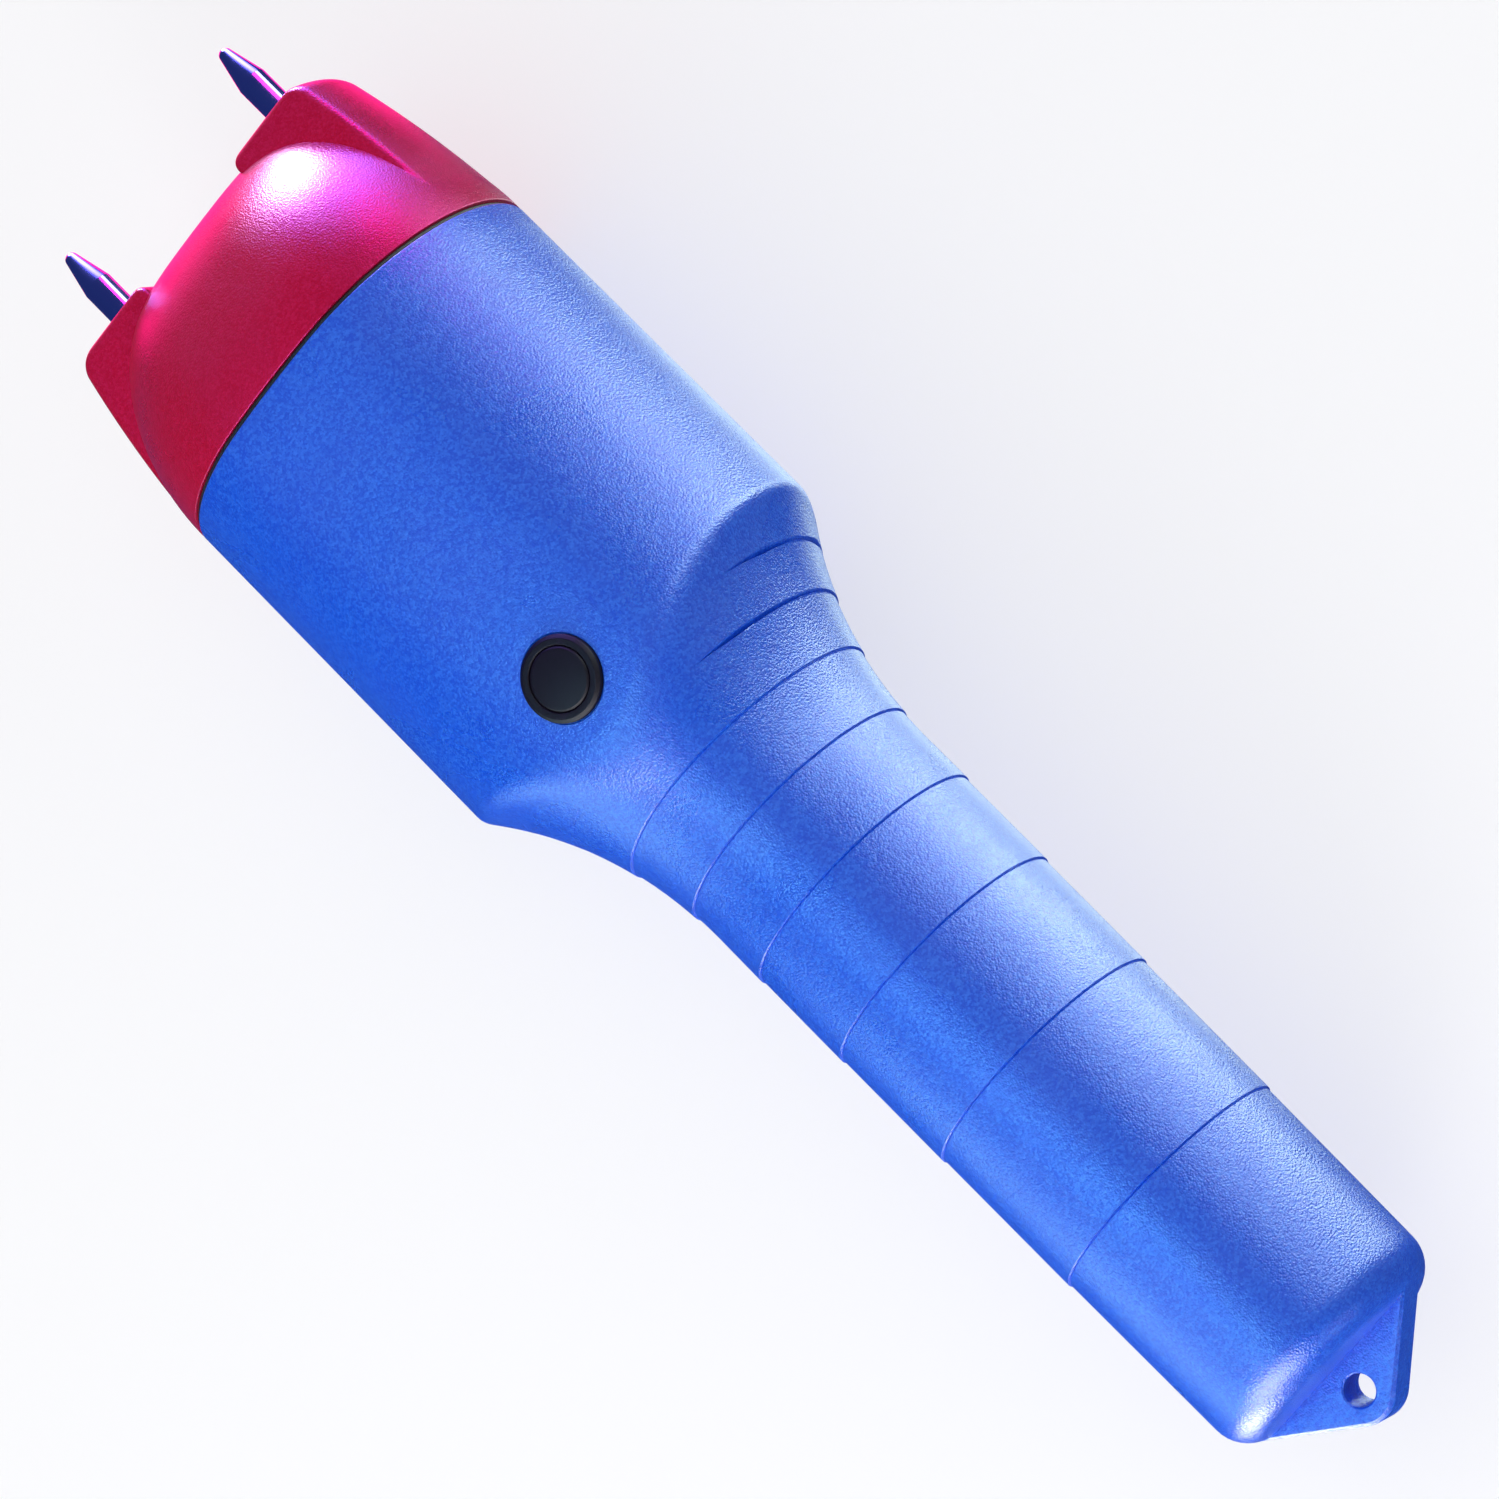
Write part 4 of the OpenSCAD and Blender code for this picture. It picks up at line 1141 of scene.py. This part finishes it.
@dataclass
class Head(Assembly):
    """Red moulding with a domed middle and two horns, and the seal under it."""

    outline: BarrelOutline
    height: float = 34.8
    ridge_x: float = 33.35
    dome_radius: float = 36.35
    dome_span: float = 41.5
    crown_start: float = 0.5
    # Rings that close the dome over its ridge: drop, and share of the edge's size.
    crown: tuple[tuple[float, float], ...] = ((0.06, 1.0), (0.02, 0.94), (0.0, 0.7), (0.0, 0.35))
    rim_round: float = 0.15
    rim_clear: float = 0.3
    skirt_depth: float = 8.0
    skirt_inset: float = 2.95
    skirt_wall: float = 2.0
    skirt_edge: float = 0.5
    cavity_front: float = 6.0
    cavity_step: float = 0.01
    horn_base: float = 3.0
    horn_inner: float = 12.2
    horn_half: float = 8.7
    horn_draft: float = 0.069
    horn_lean: float = 0.05
    horn_bow: float = 0.0026
    horn_corner: float = 3.0
    inner_corner: float = 2.0
    top_round: float = 1.2
    top_gap: float = 0.004
    face_round: float = 1.6
    inner_round: float = 0.9
    horn_floor: float = 32.0
    room_start: float = 19.14
    room_side: float = 5.6
    bore_play: float = 0.05
    bore_edge: float = 0.4
    bore_proud: float = 0.05
    seal_inset: float = 0.5
    seal_play: float = 0.05
    seal_round: float = 0.25
    # Pieces of the curves. A horn has its outer side, corner, face, inner corner and inner side.
    horn_steps: tuple[int, int, int, int, int] = (14, 8, 12, 6, 8)
    horn_step: float = 1.2
    bend_steps: int = 16
    rim_steps: int = 6
    dome_steps: int = 48
    room_steps: int = 16
    bore_steps: int = 64
    seal_steps: int = 4

    def dome_ring(self, x: float, inset: float) -> Ring:
        """Section of the dome.

        Args:
            x: station.
            inset: wall thickness that is taken off, 0 for the outside.

        Returns:
            The barrel's outline, drawn in to an ellipse sideways and an arc front to back.
        """
        out, radius = self.outline, self.dome_radius
        deep = out.half_depth - radius + math.sqrt((radius - inset) ** 2 - x * x)
        wide = (out.half_width - inset) * math.sqrt(1 - (x / (self.dome_span - inset)) ** 2)
        return [(x, y * wide / out.half_width, z * deep / out.half_depth)
                for _, y, z in out.ring(x)]

    def dome_rings(self, low: float, high: float, inset: float, steps: int) -> list[Ring]:
        """Sections of the dome between two stations.

        Args:
            low: first station.
            high: last station.
            inset: wall thickness that is taken off, 0 for the outside.
            steps: number of spaces between the sections.

        Returns:
            The sections, closer together towards the ridge.
        """
        reach = self.dome_radius - inset
        leans = even(math.asin(low / reach), math.asin(high / reach), steps)
        return [self.dome_ring(reach * math.sin(lean), inset) for lean in leans]

    def shell(self) -> Object:
        """Outside of skirt and dome.

        Returns:
            Both as one solid.
        """
        out, gap, rim = self.outline, FITS.seam_gap, self.rim_round
        rings = [out.ring(-self.skirt_depth, self.skirt_inset + self.skirt_edge),
                 out.ring(self.skirt_edge - self.skirt_depth, self.skirt_inset),
                 out.ring(gap, self.skirt_inset)]
        rings += [out.ring(x, inset) for x, inset in arc(
            (gap + rim, rim), rim, -math.pi, -QUARTER, self.rim_steps)]
        rings += self.dome_rings(gap + rim + self.rim_clear, self.ridge_x - self.crown_start, 0.0,
                                 self.dome_steps)
        edge = self.dome_ring(self.ridge_x, 0.0)
        rings += [[(self.ridge_x - drop, y * share, z * share) for _, y, z in edge]
                  for drop, share in self.crown]
        return self.shop.skin("head_shell", rings)

    def horn_ring(self, x: float, side: int) -> Ring:
        """Section of a horn.

        Args:
            x: station.
            side: 1 for the left horn, -1 for the right.

        Returns:
            The ring: round outer side, flat faces and flat inner side with rounded corners.
        """
        def drawn_in(radius: float) -> float:
            """How far a rounded top corner has drawn the side in at this station."""
            rise = max(x - self.height + radius, 0)
            return radius - math.sqrt(max(radius ** 2 - rise ** 2, 0))

        centre = self.outline.side_centre
        reach = self.outline.side_radius - self.horn_lean * x - self.horn_bow * x * x
        reach -= drawn_in(self.horn_corner)
        deep = self.horn_half + self.horn_draft * (self.height - x) - drawn_in(self.top_round)
        inner = self.horn_inner + drawn_in(self.inner_corner)
        r, k = self.face_round, self.inner_round
        mid_y = centre + math.sqrt((reach - r) ** 2 - (deep - r) ** 2)
        turn = math.atan2(deep - r, mid_y - centre)
        outer_steps, corner_steps, face_steps, root_steps, inner_steps = self.horn_steps
        half = arc((centre, 0), reach, 0, turn, outer_steps)[:-1]
        half += arc((mid_y, deep - r), r, turn, QUARTER, corner_steps)
        half += [(y, deep) for y in even(mid_y, inner + k, face_steps)[1:-1]]
        half += arc((inner + k, deep - k), k, QUARTER, math.pi, root_steps)
        half += [(inner, z) for z in even(deep - k, 0, inner_steps)[1:]]
        back = [(y, -z) for y, z in reversed(half[1:-1])]
        return [(x, side * y, z) for y, z in half + back]

    def horns(self) -> Object:
        """Both horns.

        Returns:
            The horns as solids that start inside the dome.
        """
        bend = self.height - self.horn_corner
        stations = spread(self.horn_base, bend, self.horn_step)[:-1]
        stations += [bend + self.horn_corner * math.sin(a)
                     for a in even(0, QUARTER, self.bend_steps)[:-1]]
        stations.append(self.height - self.top_gap)
        return self.shop.gather([
            self.shop.skin("horn", [self.horn_ring(x, side) for x in stations])
            for side, _ in SIDES])

    def cavity(self) -> Object:
        """Room inside skirt and dome.

        Returns:
            The cutter for it.
        """
        front, inset = self.cavity_front, self.skirt_inset + self.skirt_wall
        rings = [self.outline.ring(x, inset) for x in (-self.skirt_depth - CLEAR, front)]
        rings += self.dome_rings(front + self.cavity_step, self.ridge_x - FITS.wall, FITS.wall,
                                 self.room_steps)
        return self.shop.skin("head_cavity", rings)

    def horn_rooms(self) -> Object:
        """Rooms behind the end walls of the horns.

        Returns:
            The cutter for both.
        """
        deep = self.horn_half - FITS.wall
        reach = (self.horn_inner + FITS.wall, FITS.electrode_y + self.room_side)
        rooms = []
        for side, _ in SIDES:
            low, high = sorted(side * y for y in reach)
            corners = (self.room_start, low, -deep), (self.horn_floor, high, deep)
            rooms.append(self.shop.block("horn_room", *corners))
        return self.shop.gather(rooms)

    def bores(self) -> Object:
        """Bores of the electrodes, with broken edges.

        Returns:
            The cutter for both.
        """
        radius = FITS.electrode_radius + self.bore_play
        profile = [(self.horn_floor - CLEAR, radius)]
        profile += broken_edge(self.height, radius, self.bore_edge, self.bore_proud)
        centres = [(0, side * FITS.electrode_y, 0) for side, _ in SIDES]
        return self.shop.gather([
            self.shop.turned("bore", profile, Way.ALONG, centre, self.bore_steps)
            for centre in centres])

    def seal(self) -> Object:
        """Seal squeezed in the seam.

        Returns:
            The seal, with a rounded outer edge.
        """
        gap, inset, inner = FITS.seam_gap, self.seal_inset, FITS.wall - self.seal_play
        edge = eased([(-gap, inner, 0), (-gap, inset, self.seal_round),
                      (gap, inset, self.seal_round), (gap, inner, 0)], self.seal_steps)
        rings = [self.outline.ring(x, depth) for x, depth in edge]
        return self.shop.skin("seam_seal", rings, looped=True)

    def build(self) -> None:
        """Builds and dresses the head and its seal."""
        head = self.shell()
        self.shop.carve(head, self.horns(), Carving.JOIN)
        for cutter in (self.cavity(), self.horn_rooms(), self.bores()):
            self.shop.carve(head, cutter, Carving.CUT)
        head.name = "horned_head"
        self.shop.fit(head, Slot.RED_SHELL, Body.PRODDER, "head_cap")
        self.shop.fit(self.seal(), Slot.BLACK_SEAL, Body.PRODDER, "head_seal")


@dataclass
class Electrodes(Assembly):
    """Two pointed steel electrodes in the horn ends."""

    tip_x: float = 50.45
    point_length: float = 7.15
    point_angle: float = 15.0
    tip_radius: float = 1.15
    shoulder_round: float = 0.8
    flange_radius: float = 4.2
    flange_round: float = 0.2
    flange: tuple[float, float] = (30.4, 32.0)
    thread_radius: float = 2.0
    thread_depth: float = 0.25
    thread_pitch: float = 0.7
    thread_start: float = 0.3
    thread_end: float = 0.4
    tail_x: float = 24.4
    tip_steps: int = 8
    steps: int = 64

    def profile(self) -> Profile:
        """Profile of an electrode.

        Returns:
            The profile from the threaded tail to the rounded tip.
        """
        root, (low, high) = self.thread_radius - self.thread_depth, self.flange
        points: Profile = [(self.tail_x, 0.0), (self.tail_x, root)]
        turns = int((low - self.tail_x - self.thread_end) / self.thread_pitch)
        for i in range(turns):
            x = self.tail_x + self.thread_start + i * self.thread_pitch
            points += [(x, root), (x + self.thread_pitch / 2, self.thread_radius)]
        tip = arc((self.tip_x - self.tip_radius, 0), self.tip_radius,
                  QUARTER - math.radians(self.point_angle), 0, self.tip_steps)
        shoulder, radius = self.tip_x - self.point_length, FITS.electrode_radius
        points += eased([(low, root, 0), (low, self.flange_radius, self.flange_round),
                         (high, self.flange_radius, self.flange_round), (high, radius, 0),
                         (shoulder, radius, self.shoulder_round), (*tip[0], 0)])
        return points + tip[1:-1] + [(self.tip_x, 0.0)]

    def build(self) -> None:
        """Builds and dresses both electrodes."""
        for side, name in SIDES:
            centre = (0, side * FITS.electrode_y, 0)
            piece = self.shop.turned(f"steel_point_{name}", self.profile(), Way.ALONG, centre,
                                     self.steps)
            self.shop.fit(piece, Slot.POLISHED_STEEL, Body.PRODDER, f"electrode_{name}")


def coil_path(radii: tuple[float, float], low: float, high: float, turns: float,
              points: int = 36, flat: float = 0.6) -> list[Vector]:
    """Middle line of a spring round the Z axis.

    Args:
        radii: radius at its lower and at its upper end.
        low: height of its lower end.
        high: height of its upper end.
        turns: number of turns.
        points: points in each turn.
        flat: how far the end turns are laid flat, from 0 to 1.

    Returns:
        Points of the line.
    """
    path = []
    for t in even(0, 1, round(turns * points)):
        a, r = TURN * turns * t, mix(*radii, t)
        height = mix(low, high, mix(t, ease(t), flat))
        path.append(Vector((r * math.cos(a), r * math.sin(a), height)))
    return path


@dataclass
class PushButton(Assembly):
    """Black push button in its ring, and the spring that returns it."""

    bezel_radius: float = 6.6
    bezel_top: float = 30.0
    bezel_slope: tuple[float, float] = (0.45, 0.6)
    bezel_rounds: tuple[float, float] = (0.2, 0.25)
    mouth_edge: tuple[float, float] = (0.15, 0.12)
    mouth_round: float = 0.1
    bush_radius: float = 5.75
    bush_base: float = 20.5
    bush_round: float = 0.15
    thread_margin: float = 0.8
    thread_step: float = 0.4
    thread_depth: float = 0.12
    bore_radius: float = 5.0
    cap_radius: float = 4.92
    cap_base: float = 27.0
    cap_top: float = 30.45
    cap_rise: float = 0.35
    cap_edge: float = 0.35
    cap_bevel: float = 0.3
    cap_round: float = 0.3
    foot_round: float = 0.2
    dome_shares: tuple[float, ...] = (0.9, 0.75, 0.6, 0.4, 0.2)
    stem_radius: float = 1.5
    socket_depth: float = 1.2
    spring_radius: float = 3.5
    spring_wire: float = 0.6
    spring_turns: float = 4.0
    spring_gap: float = 0.05
    travel: float = 1.5

    def bush(self) -> Object:
        """Threaded bush.

        Returns:
            The bush with the ring that shows round the button.
        """
        base, seat, top = self.bush_base, FITS.bezel_seat, self.bezel_top
        outer, thread, bore = self.bezel_radius, self.bush_radius, self.bore_radius
        (drop, inward), (depth, wide) = self.bezel_slope, self.mouth_edge
        margin = self.thread_margin
        ridges = enumerate(spread(base + margin, seat - margin, self.thread_step))
        corners = [(base, bore, 0), (base, thread, self.bush_round)]
        corners += [(x, thread - (0.0 if i % 2 else self.thread_depth), 0) for i, x in ridges]
        corners += [(seat, thread, 0), (seat, outer, 0), (top - drop, outer, self.bezel_rounds[0]),
                    (top, outer - inward, self.bezel_rounds[1]),
                    (top, bore + wide, self.mouth_round), (top - depth, bore, 0)]
        return self.shop.turned("button_ring", eased(corners), Way.UP, (FITS.button_x, 0, 0),
                                looped=True)

    def cap(self) -> Object:
        """Button with a softly domed top.

        Returns:
            The button, with a socket for its stem.
        """
        base, top, rise, stem = self.cap_base, self.cap_top, self.cap_rise, self.stem_radius
        socket, brim, face = base + self.socket_depth, top - rise, self.cap_radius - self.cap_edge
        corners = [(socket, 0, 0), (socket, stem, 0), (base, stem, 0),
                   (base, self.cap_radius, self.foot_round),
                   (brim - self.cap_bevel, self.cap_radius, self.cap_round),
                   (brim, face, self.cap_round)]
        corners += [(top - rise * t * t, face * t, 0) for t in self.dome_shares]
        profile = eased(corners + [(top, 0, 0)])
        return self.shop.turned("push_button", profile, Way.UP, (FITS.button_x, 0, 0))

    def spring(self) -> Object:
        """Return spring with its end turns laid flat.

        Returns:
            The spring.
        """
        edge = self.spring_gap + self.spring_wire / 2
        path = coil_path((self.spring_radius, self.spring_radius), self.bush_base + edge,
                         self.cap_base - edge, self.spring_turns + 1)
        places = [Vector((FITS.button_x + p.x, p.y, p.z)) for p in path]
        return self.shop.tube("return_spring", places, self.spring_wire / 2)

    def build(self) -> None:
        """Builds and dresses the button, its ring and its spring."""
        self.shop.fit(self.bush(), Slot.BLACK_PLASTIC, Body.PRODDER, "switch_bush")
        self.shop.fit(self.cap(), Slot.BLACK_PLASTIC, Body.BUTTON, "button_cap")
        spring = self.spring()
        self.shop.fit(spring, Slot.PLATED_STEEL, Body.PRODDER, "button_spring")
        anchor = self.shop.axis.place((FITS.button_x, 0, self.bush_base))
        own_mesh(spring)


@dataclass(frozen=True)
class Lead:
    """Lead inside: the part it stands for, its finish, its radius and the points that bend it."""

    node: str
    slot: Slot
    radius: float
    bends: tuple[Point, ...]

    def path(self, count: int = 40) -> list[Vector]:
        """Middle line of the lead.

        Args:
            count: number of pieces in it.

        Returns:
            Points of the soft curve that the bends pull along.
        """
        path = []
        for t in even(0, 1, count):
            line = [Vector(bend) for bend in self.bends]
            while len(line) > 1:
                line = [a.lerp(b, t) for a, b in zip(line, line[1:])]
            path.append(line[0])
        return path


@dataclass
class PowerWorks(Assembly):
    """What lies inside and is wound or soft: the cell spring, coil winding and leads."""

    plate_x: float = -207.8
    spring_room: float = 6.0
    spring_radii: tuple[float, float] = (11.0, 6.0)
    spring_wire: float = 1.0
    spring_turns: float = 3.0
    spring_gap: float = 0.05
    coil_x: float = -23.3
    coil_z: float = -2.5
    winding_inner: float = 5.2
    winding_outer: float = 8.5
    winding_half: float = 15.5
    winding_wire: float = 0.45
    winding_banks: int = 3
    winding_steps: int = 48
    bank_gap: float = 1.0
    bank_depth: float = 1.2
    turn_shape: tuple[tuple[float, float], ...] = ((0.1, 0.4), (0.5, 1.0), (0.9, 0.4))
    pin_offset: float = 5.5
    pin_y: float = 17.35
    pin_reach: float = 6.0
    tag_x: float = 24.1
    hv_radius: float = 1.2
    hv_slots: tuple[Slot, Slot] = (Slot.RED_WIRE, Slot.BLACK_WIRE)
    low_leads: tuple[Lead, ...] = (
        Lead("supply_lead", Slot.RED_WIRE, 0.8, ((-73.9, 0, 0), (-67.05, 0, 0), (-67.05, 0, 3.6))),
        Lead("switch_lead", Slot.RED_WIRE, 0.8,
             ((-61.25, 0, 3.6), (-61.25, 0, -2.4), (-53, 6, -5.1), (-50, 6, -11.1))),
        Lead("return_lead", Slot.BLACK_WIRE, 0.8,
             ((-74.2, 0, -16.8), (-68.2, 0, -16.8), (-50, -6, -5.1), (-50, -6, -11.1))),
    )

    def battery_spring(self) -> Object:
        """Conical spring between tail contact and rear cell.

        Returns:
            The spring.
        """
        edge = self.spring_wire / 2 + self.spring_gap
        path = coil_path(self.spring_radii, edge, self.spring_room - edge, self.spring_turns)
        places = [Vector((self.plate_x + p.z, p.x, p.y)) for p in path]
        return self.shop.tube("cell_spring", places, self.spring_wire / 2)

    def winding(self) -> Object:
        """Winding in banks, each turn of wire a ridge.

        Returns:
            The winding.
        """
        half, outer, last = self.winding_half, self.winding_outer, self.winding_banks - 1
        profile: Profile = [(-half, self.winding_inner)]
        bank = 2 * half / self.winding_banks
        for k in range(self.winding_banks):
            start = -half + k * bank + (self.bank_gap / 2 if k else 0)
            end = -half + (k + 1) * bank - (self.bank_gap / 2 if k < last else 0)
            turns = round((end - start) / self.winding_wire)
            pitch = (end - start) / turns
            if k:
                profile.append((start, outer - self.bank_depth))
            profile += [(start + (i + share) * pitch, outer - pitch / 2 * (1 - lift))
                        for i in range(turns) for share, lift in self.turn_shape]
            if k < last:
                profile.append((end, outer - self.bank_depth))
        profile.append((half, self.winding_inner))
        return self.shop.turned("coil_winding", profile, Way.ACROSS,
                                (self.coil_x, 0, self.coil_z), self.winding_steps, looped=True)

    def hv_leads(self) -> list[Lead]:
        """Leads from the coil to the tags of the electrodes.

        Returns:
            The left lead, and the right one as its mirror.
        """
        pin_x, tag_y = self.coil_x + self.pin_offset, FITS.electrode_y
        bends = [(pin_x, y, self.coil_z) for y in (self.pin_y, self.pin_y + self.pin_reach)]
        bends += [(x, tag_y, 0) for x in ((pin_x + self.tag_x) / 2, self.tag_x)]
        return [Lead(f"hv_lead_{name}", slot, self.hv_radius,
                     tuple((x, side * y, z) for x, y, z in bends))
                for (side, name), slot in zip(SIDES, self.hv_slots)]

    def build(self) -> None:
        """Builds and dresses the cell spring, the winding and the leads."""
        fit = self.shop.fit
        fit(self.battery_spring(), Slot.PLATED_STEEL, Body.PRODDER, "battery_spring")
        fit(self.winding(), Slot.COPPER_WINDING, Body.PRODDER, "transformer_winding")
        for lead in (*self.hv_leads(), *self.low_leads):
            wire = self.shop.tube(f"wire_{lead.node}", lead.path(), lead.radius)
            fit(wire, lead.slot, Body.PRODDER, lead.node)


@dataclass(frozen=True)
class Glow:
    """Soft patch of light on the far walls, seen in reflections only; reach is half its angle."""

    direction: Point
    reach: float
    power: float
    colour: Screen = WHITE


@dataclass(frozen=True)
class SoftBox:
    """Flat light near the prodder: its place, what it faces, its size in metres and its use."""

    name: str
    place: Point
    aim: Point
    size: tuple[float, float]
    power: float
    use: Use
    colour: Screen = WHITE


@dataclass
class Studio:
    """Camera, soft lights, surroundings and floor."""

    aim: Point = (0.00104, -0.0016, 0.029)
    distance: float = 1.00064
    azimuth: float = -124.6455
    elevation: float = 64.333
    roll: float = -102.8832
    lens: float = 161.0
    sensor: float = 36.0
    floor_size: float = 8.0
    floor_colour: Screen = (246, 246, 248)
    floor_glow: float = 0.68
    floor_roughness: float = 0.9
    floor_shine: float = 0.1
    walls: Screen = (52, 62, 120)
    boxes: tuple[SoftBox, ...] = (
        SoftBox("fill_light", (0.9, 0, 2.0), (0, 0, 0), (5.4, 5.4), 122.0, Use.FILL),
        SoftBox("right_fill", (-0.4, -0.8, 0.35), (0, 0, 0), (0.9, 0.5), 1.9, Use.FILL),
        SoftBox("left_fill", (-0.45, 0.5, 0.3), (-0.1, 0, 0.03), (0.4, 0.4), 1.4, Use.FILL),
        SoftBox("tail_fill", (-0.62, 0.46, 0.25), (-0.1, 0, 0.03), (0.4, 0.4), 3.2, Use.FILL),
        SoftBox("right_card", (0.095, -0.6, -0.28), (0.095, 0, -0.28), (0.25, 0.72), 7.4,
                Use.CARD, PALE_GREEN),
        SoftBox("upper_card", (0.06, -0.6, 0.34), (0.06, 0, 0.34), (0.22, 0.5), 3.4,
                Use.CARD, PALE_GREEN),
        SoftBox("lower_card", (0.165, -0.275, -0.68), (0.165, -0.275, 0), (0.27, 0.65), 1.6,
                Use.CARD, PALE_GREEN),
        SoftBox("left_card", (-0.12, 0.32, 0.12), (-0.08, 0, 0.03), (0.3, 0.3), 0.9,
                Use.CARD, (200, 255, 250)),
        SoftBox("ring_card", (-0.37, 0.37, -0.135), (-0.07, 0.01, 0.04), (0.24, 0.24), 1.9,
                Use.CARD),
        SoftBox("tail_card", (-0.41, 0.24, 0.27), (-0.12, 0, 0.03), (0.42, 0.42), 6.2, Use.CARD),
        SoftBox("crown_card", (-0.03, 0.22, 0.59), (-0.09, 0, 0.04), (0.2, 0.12), 1.4,
                Use.CARD, (137, 224, 255)),
        SoftBox("lug_card", (-0.2, 0.1, 0.018), (-0.131, 0.01, 0.0325), (0.05, 0.05), 0.04,
                Use.CARD),
        SoftBox("edge_card", (-0.22, -0.043, 0.0635), (-0.131, -0.01, 0.0325), (0.03, 0.03), 0.014,
                Use.CARD),
        SoftBox("head_card", (0.3, 0.02, -0.12), (0.115, 0, 0.04), (0.28, 0.28), 0.9,
                Use.CARD, (255, 0, 120)),
        SoftBox("horn_card", (0.17, -0.13, 0.07), (0.115, -0.03, 0.045), (0.05, 0.05), 0.085,
                Use.CARD, (255, 40, 190)),
    )
    glows: tuple[Glow, ...] = (
        Glow((0.963, -0.17, -0.2), 13.0, 84.0),
        Glow((0.88, -0.4, -0.12), 33.0, 25.0, (140, 120, 255)),
        Glow((0.37, -0.92, -0.1), 12.0, 6.0),
    )

    def camera(self) -> None:
        """Sets the camera where the photograph was taken from."""
        lift, turn = math.radians(self.elevation), math.radians(self.azimuth)
        back = Vector((math.cos(lift) * math.cos(turn), math.cos(lift) * math.sin(turn),
                       math.sin(lift)))
        level = Vector((0, 0, 1)).cross(back).normalized()
        upright = back.cross(level)
        data = bpy.data.cameras.new("photo_camera")
        data.lens = self.lens
        data.sensor_width = self.sensor
        camera = put("photo_camera", data)
        axes = Matrix((level, upright, back)).transposed().to_4x4()
        place = Matrix.Translation(Vector(self.aim) + back * self.distance)
        camera.matrix_world = place @ axes @ Matrix.Rotation(math.radians(self.roll), 4, "Z")
        bpy.context.scene.camera = camera

    def soft_light(self, box: SoftBox) -> None:
        """Hangs one soft box.

        Args:
            box: the box.
        """
        data = bpy.data.lights.new(box.name, "AREA")
        data.shape = "RECTANGLE"
        data.size, data.size_y = box.size
        data.energy = box.power
        data.color = screen(box.colour)[:3]
        light = put(box.name, data)
        light.location = box.place
        facing = Vector(box.place) - Vector(box.aim)
        light.rotation_euler = facing.to_track_quat("Z", "Y").to_euler()
        light.visible_camera = False
        light.visible_diffuse, light.visible_glossy = box.use.value

    def surroundings(self) -> None:
        """Plain walls with soft patches of light; the camera itself sees a pale backdrop."""
        world = bpy.data.worlds.new("studio")
        world.use_nodes = True
        graph = Graph(world.node_tree)
        direction = graph.add("ShaderNodeTexCoord").outputs["Generated"]
        total = screen(self.walls)[:3]
        for glow in self.glows:
            middle = Vector(glow.direction).normalized()
            facing = graph.vector("DOT_PRODUCT", {0: direction, 1: middle}, "Value")
            share = graph.fit(facing, (math.cos(math.radians(glow.reach)), 1.0),
                              (0.0, glow.power), interpolation_type="SMOOTHSTEP")
            lit = graph.vector("SCALE", {0: screen(glow.colour)[:3], "Scale": share})
            total = graph.vector("ADD", {0: total, 1: lit})
        walls = graph.add("ShaderNodeBackground", {"Color": total})
        backdrop = graph.add("ShaderNodeBackground", {"Color": screen(self.floor_colour)})
        seen = graph.add("ShaderNodeLightPath").outputs["Is Camera Ray"]
        both = graph.add("ShaderNodeMixShader", {
            0: seen, 1: walls.outputs["Background"], 2: backdrop.outputs["Background"]})
        graph.add("ShaderNodeOutputWorld", {"Surface": both.outputs["Shader"]})
        world.cycles_visibility.diffuse = False
        bpy.context.scene.world = world

    def floor(self) -> None:
        """Plain pale floor under the prodder, partly lit from within."""
        half, pale = self.floor_size / 2, screen(self.floor_colour)
        corners = [(-half, -half, 0), (half, -half, 0), (half, half, 0), (-half, half, 0)]
        mesh = bpy.data.meshes.new("floor")
        mesh.from_pydata(corners, [], [(0, 1, 2, 3)])
        floor = put("floor", mesh)
        material = bpy.data.materials.new("pale_floor")
        material.use_nodes = True
        Graph(material.node_tree).surface({
            "Base Color": [v * (1 - self.floor_glow) for v in pale], "Emission Color": pale,
            "Emission Strength": self.floor_glow, "Roughness": self.floor_roughness,
            "Specular IOR Level": self.floor_shine})
        mesh.materials.append(material)
        floor.visible_glossy = False
        floor.visible_shadow = False

    def build(self) -> None:
        """Sets up the whole studio."""
        bpy.context.scene.view_settings.view_transform = "Standard"
        self.camera()
        self.surroundings()
        self.floor()
        for box in self.boxes:
            self.soft_light(box)


def main() -> None:
    """Builds the studio and the sub-assemblies in order and notes the sizes."""
    logging.basicConfig(level=logging.INFO, format="%(name)s: %(message)s")
    Studio().build()
    shop = Workshop(Axis.of_frame())
    shop.dress_parts()
    outline = BarrelOutline()
    for assembly in (Housing(shop, outline), Head(shop, outline), Electrodes(shop),
                     PushButton(shop), PowerWorks(shop)):
        assembly.build()


if __name__ == "__main__":
    main()
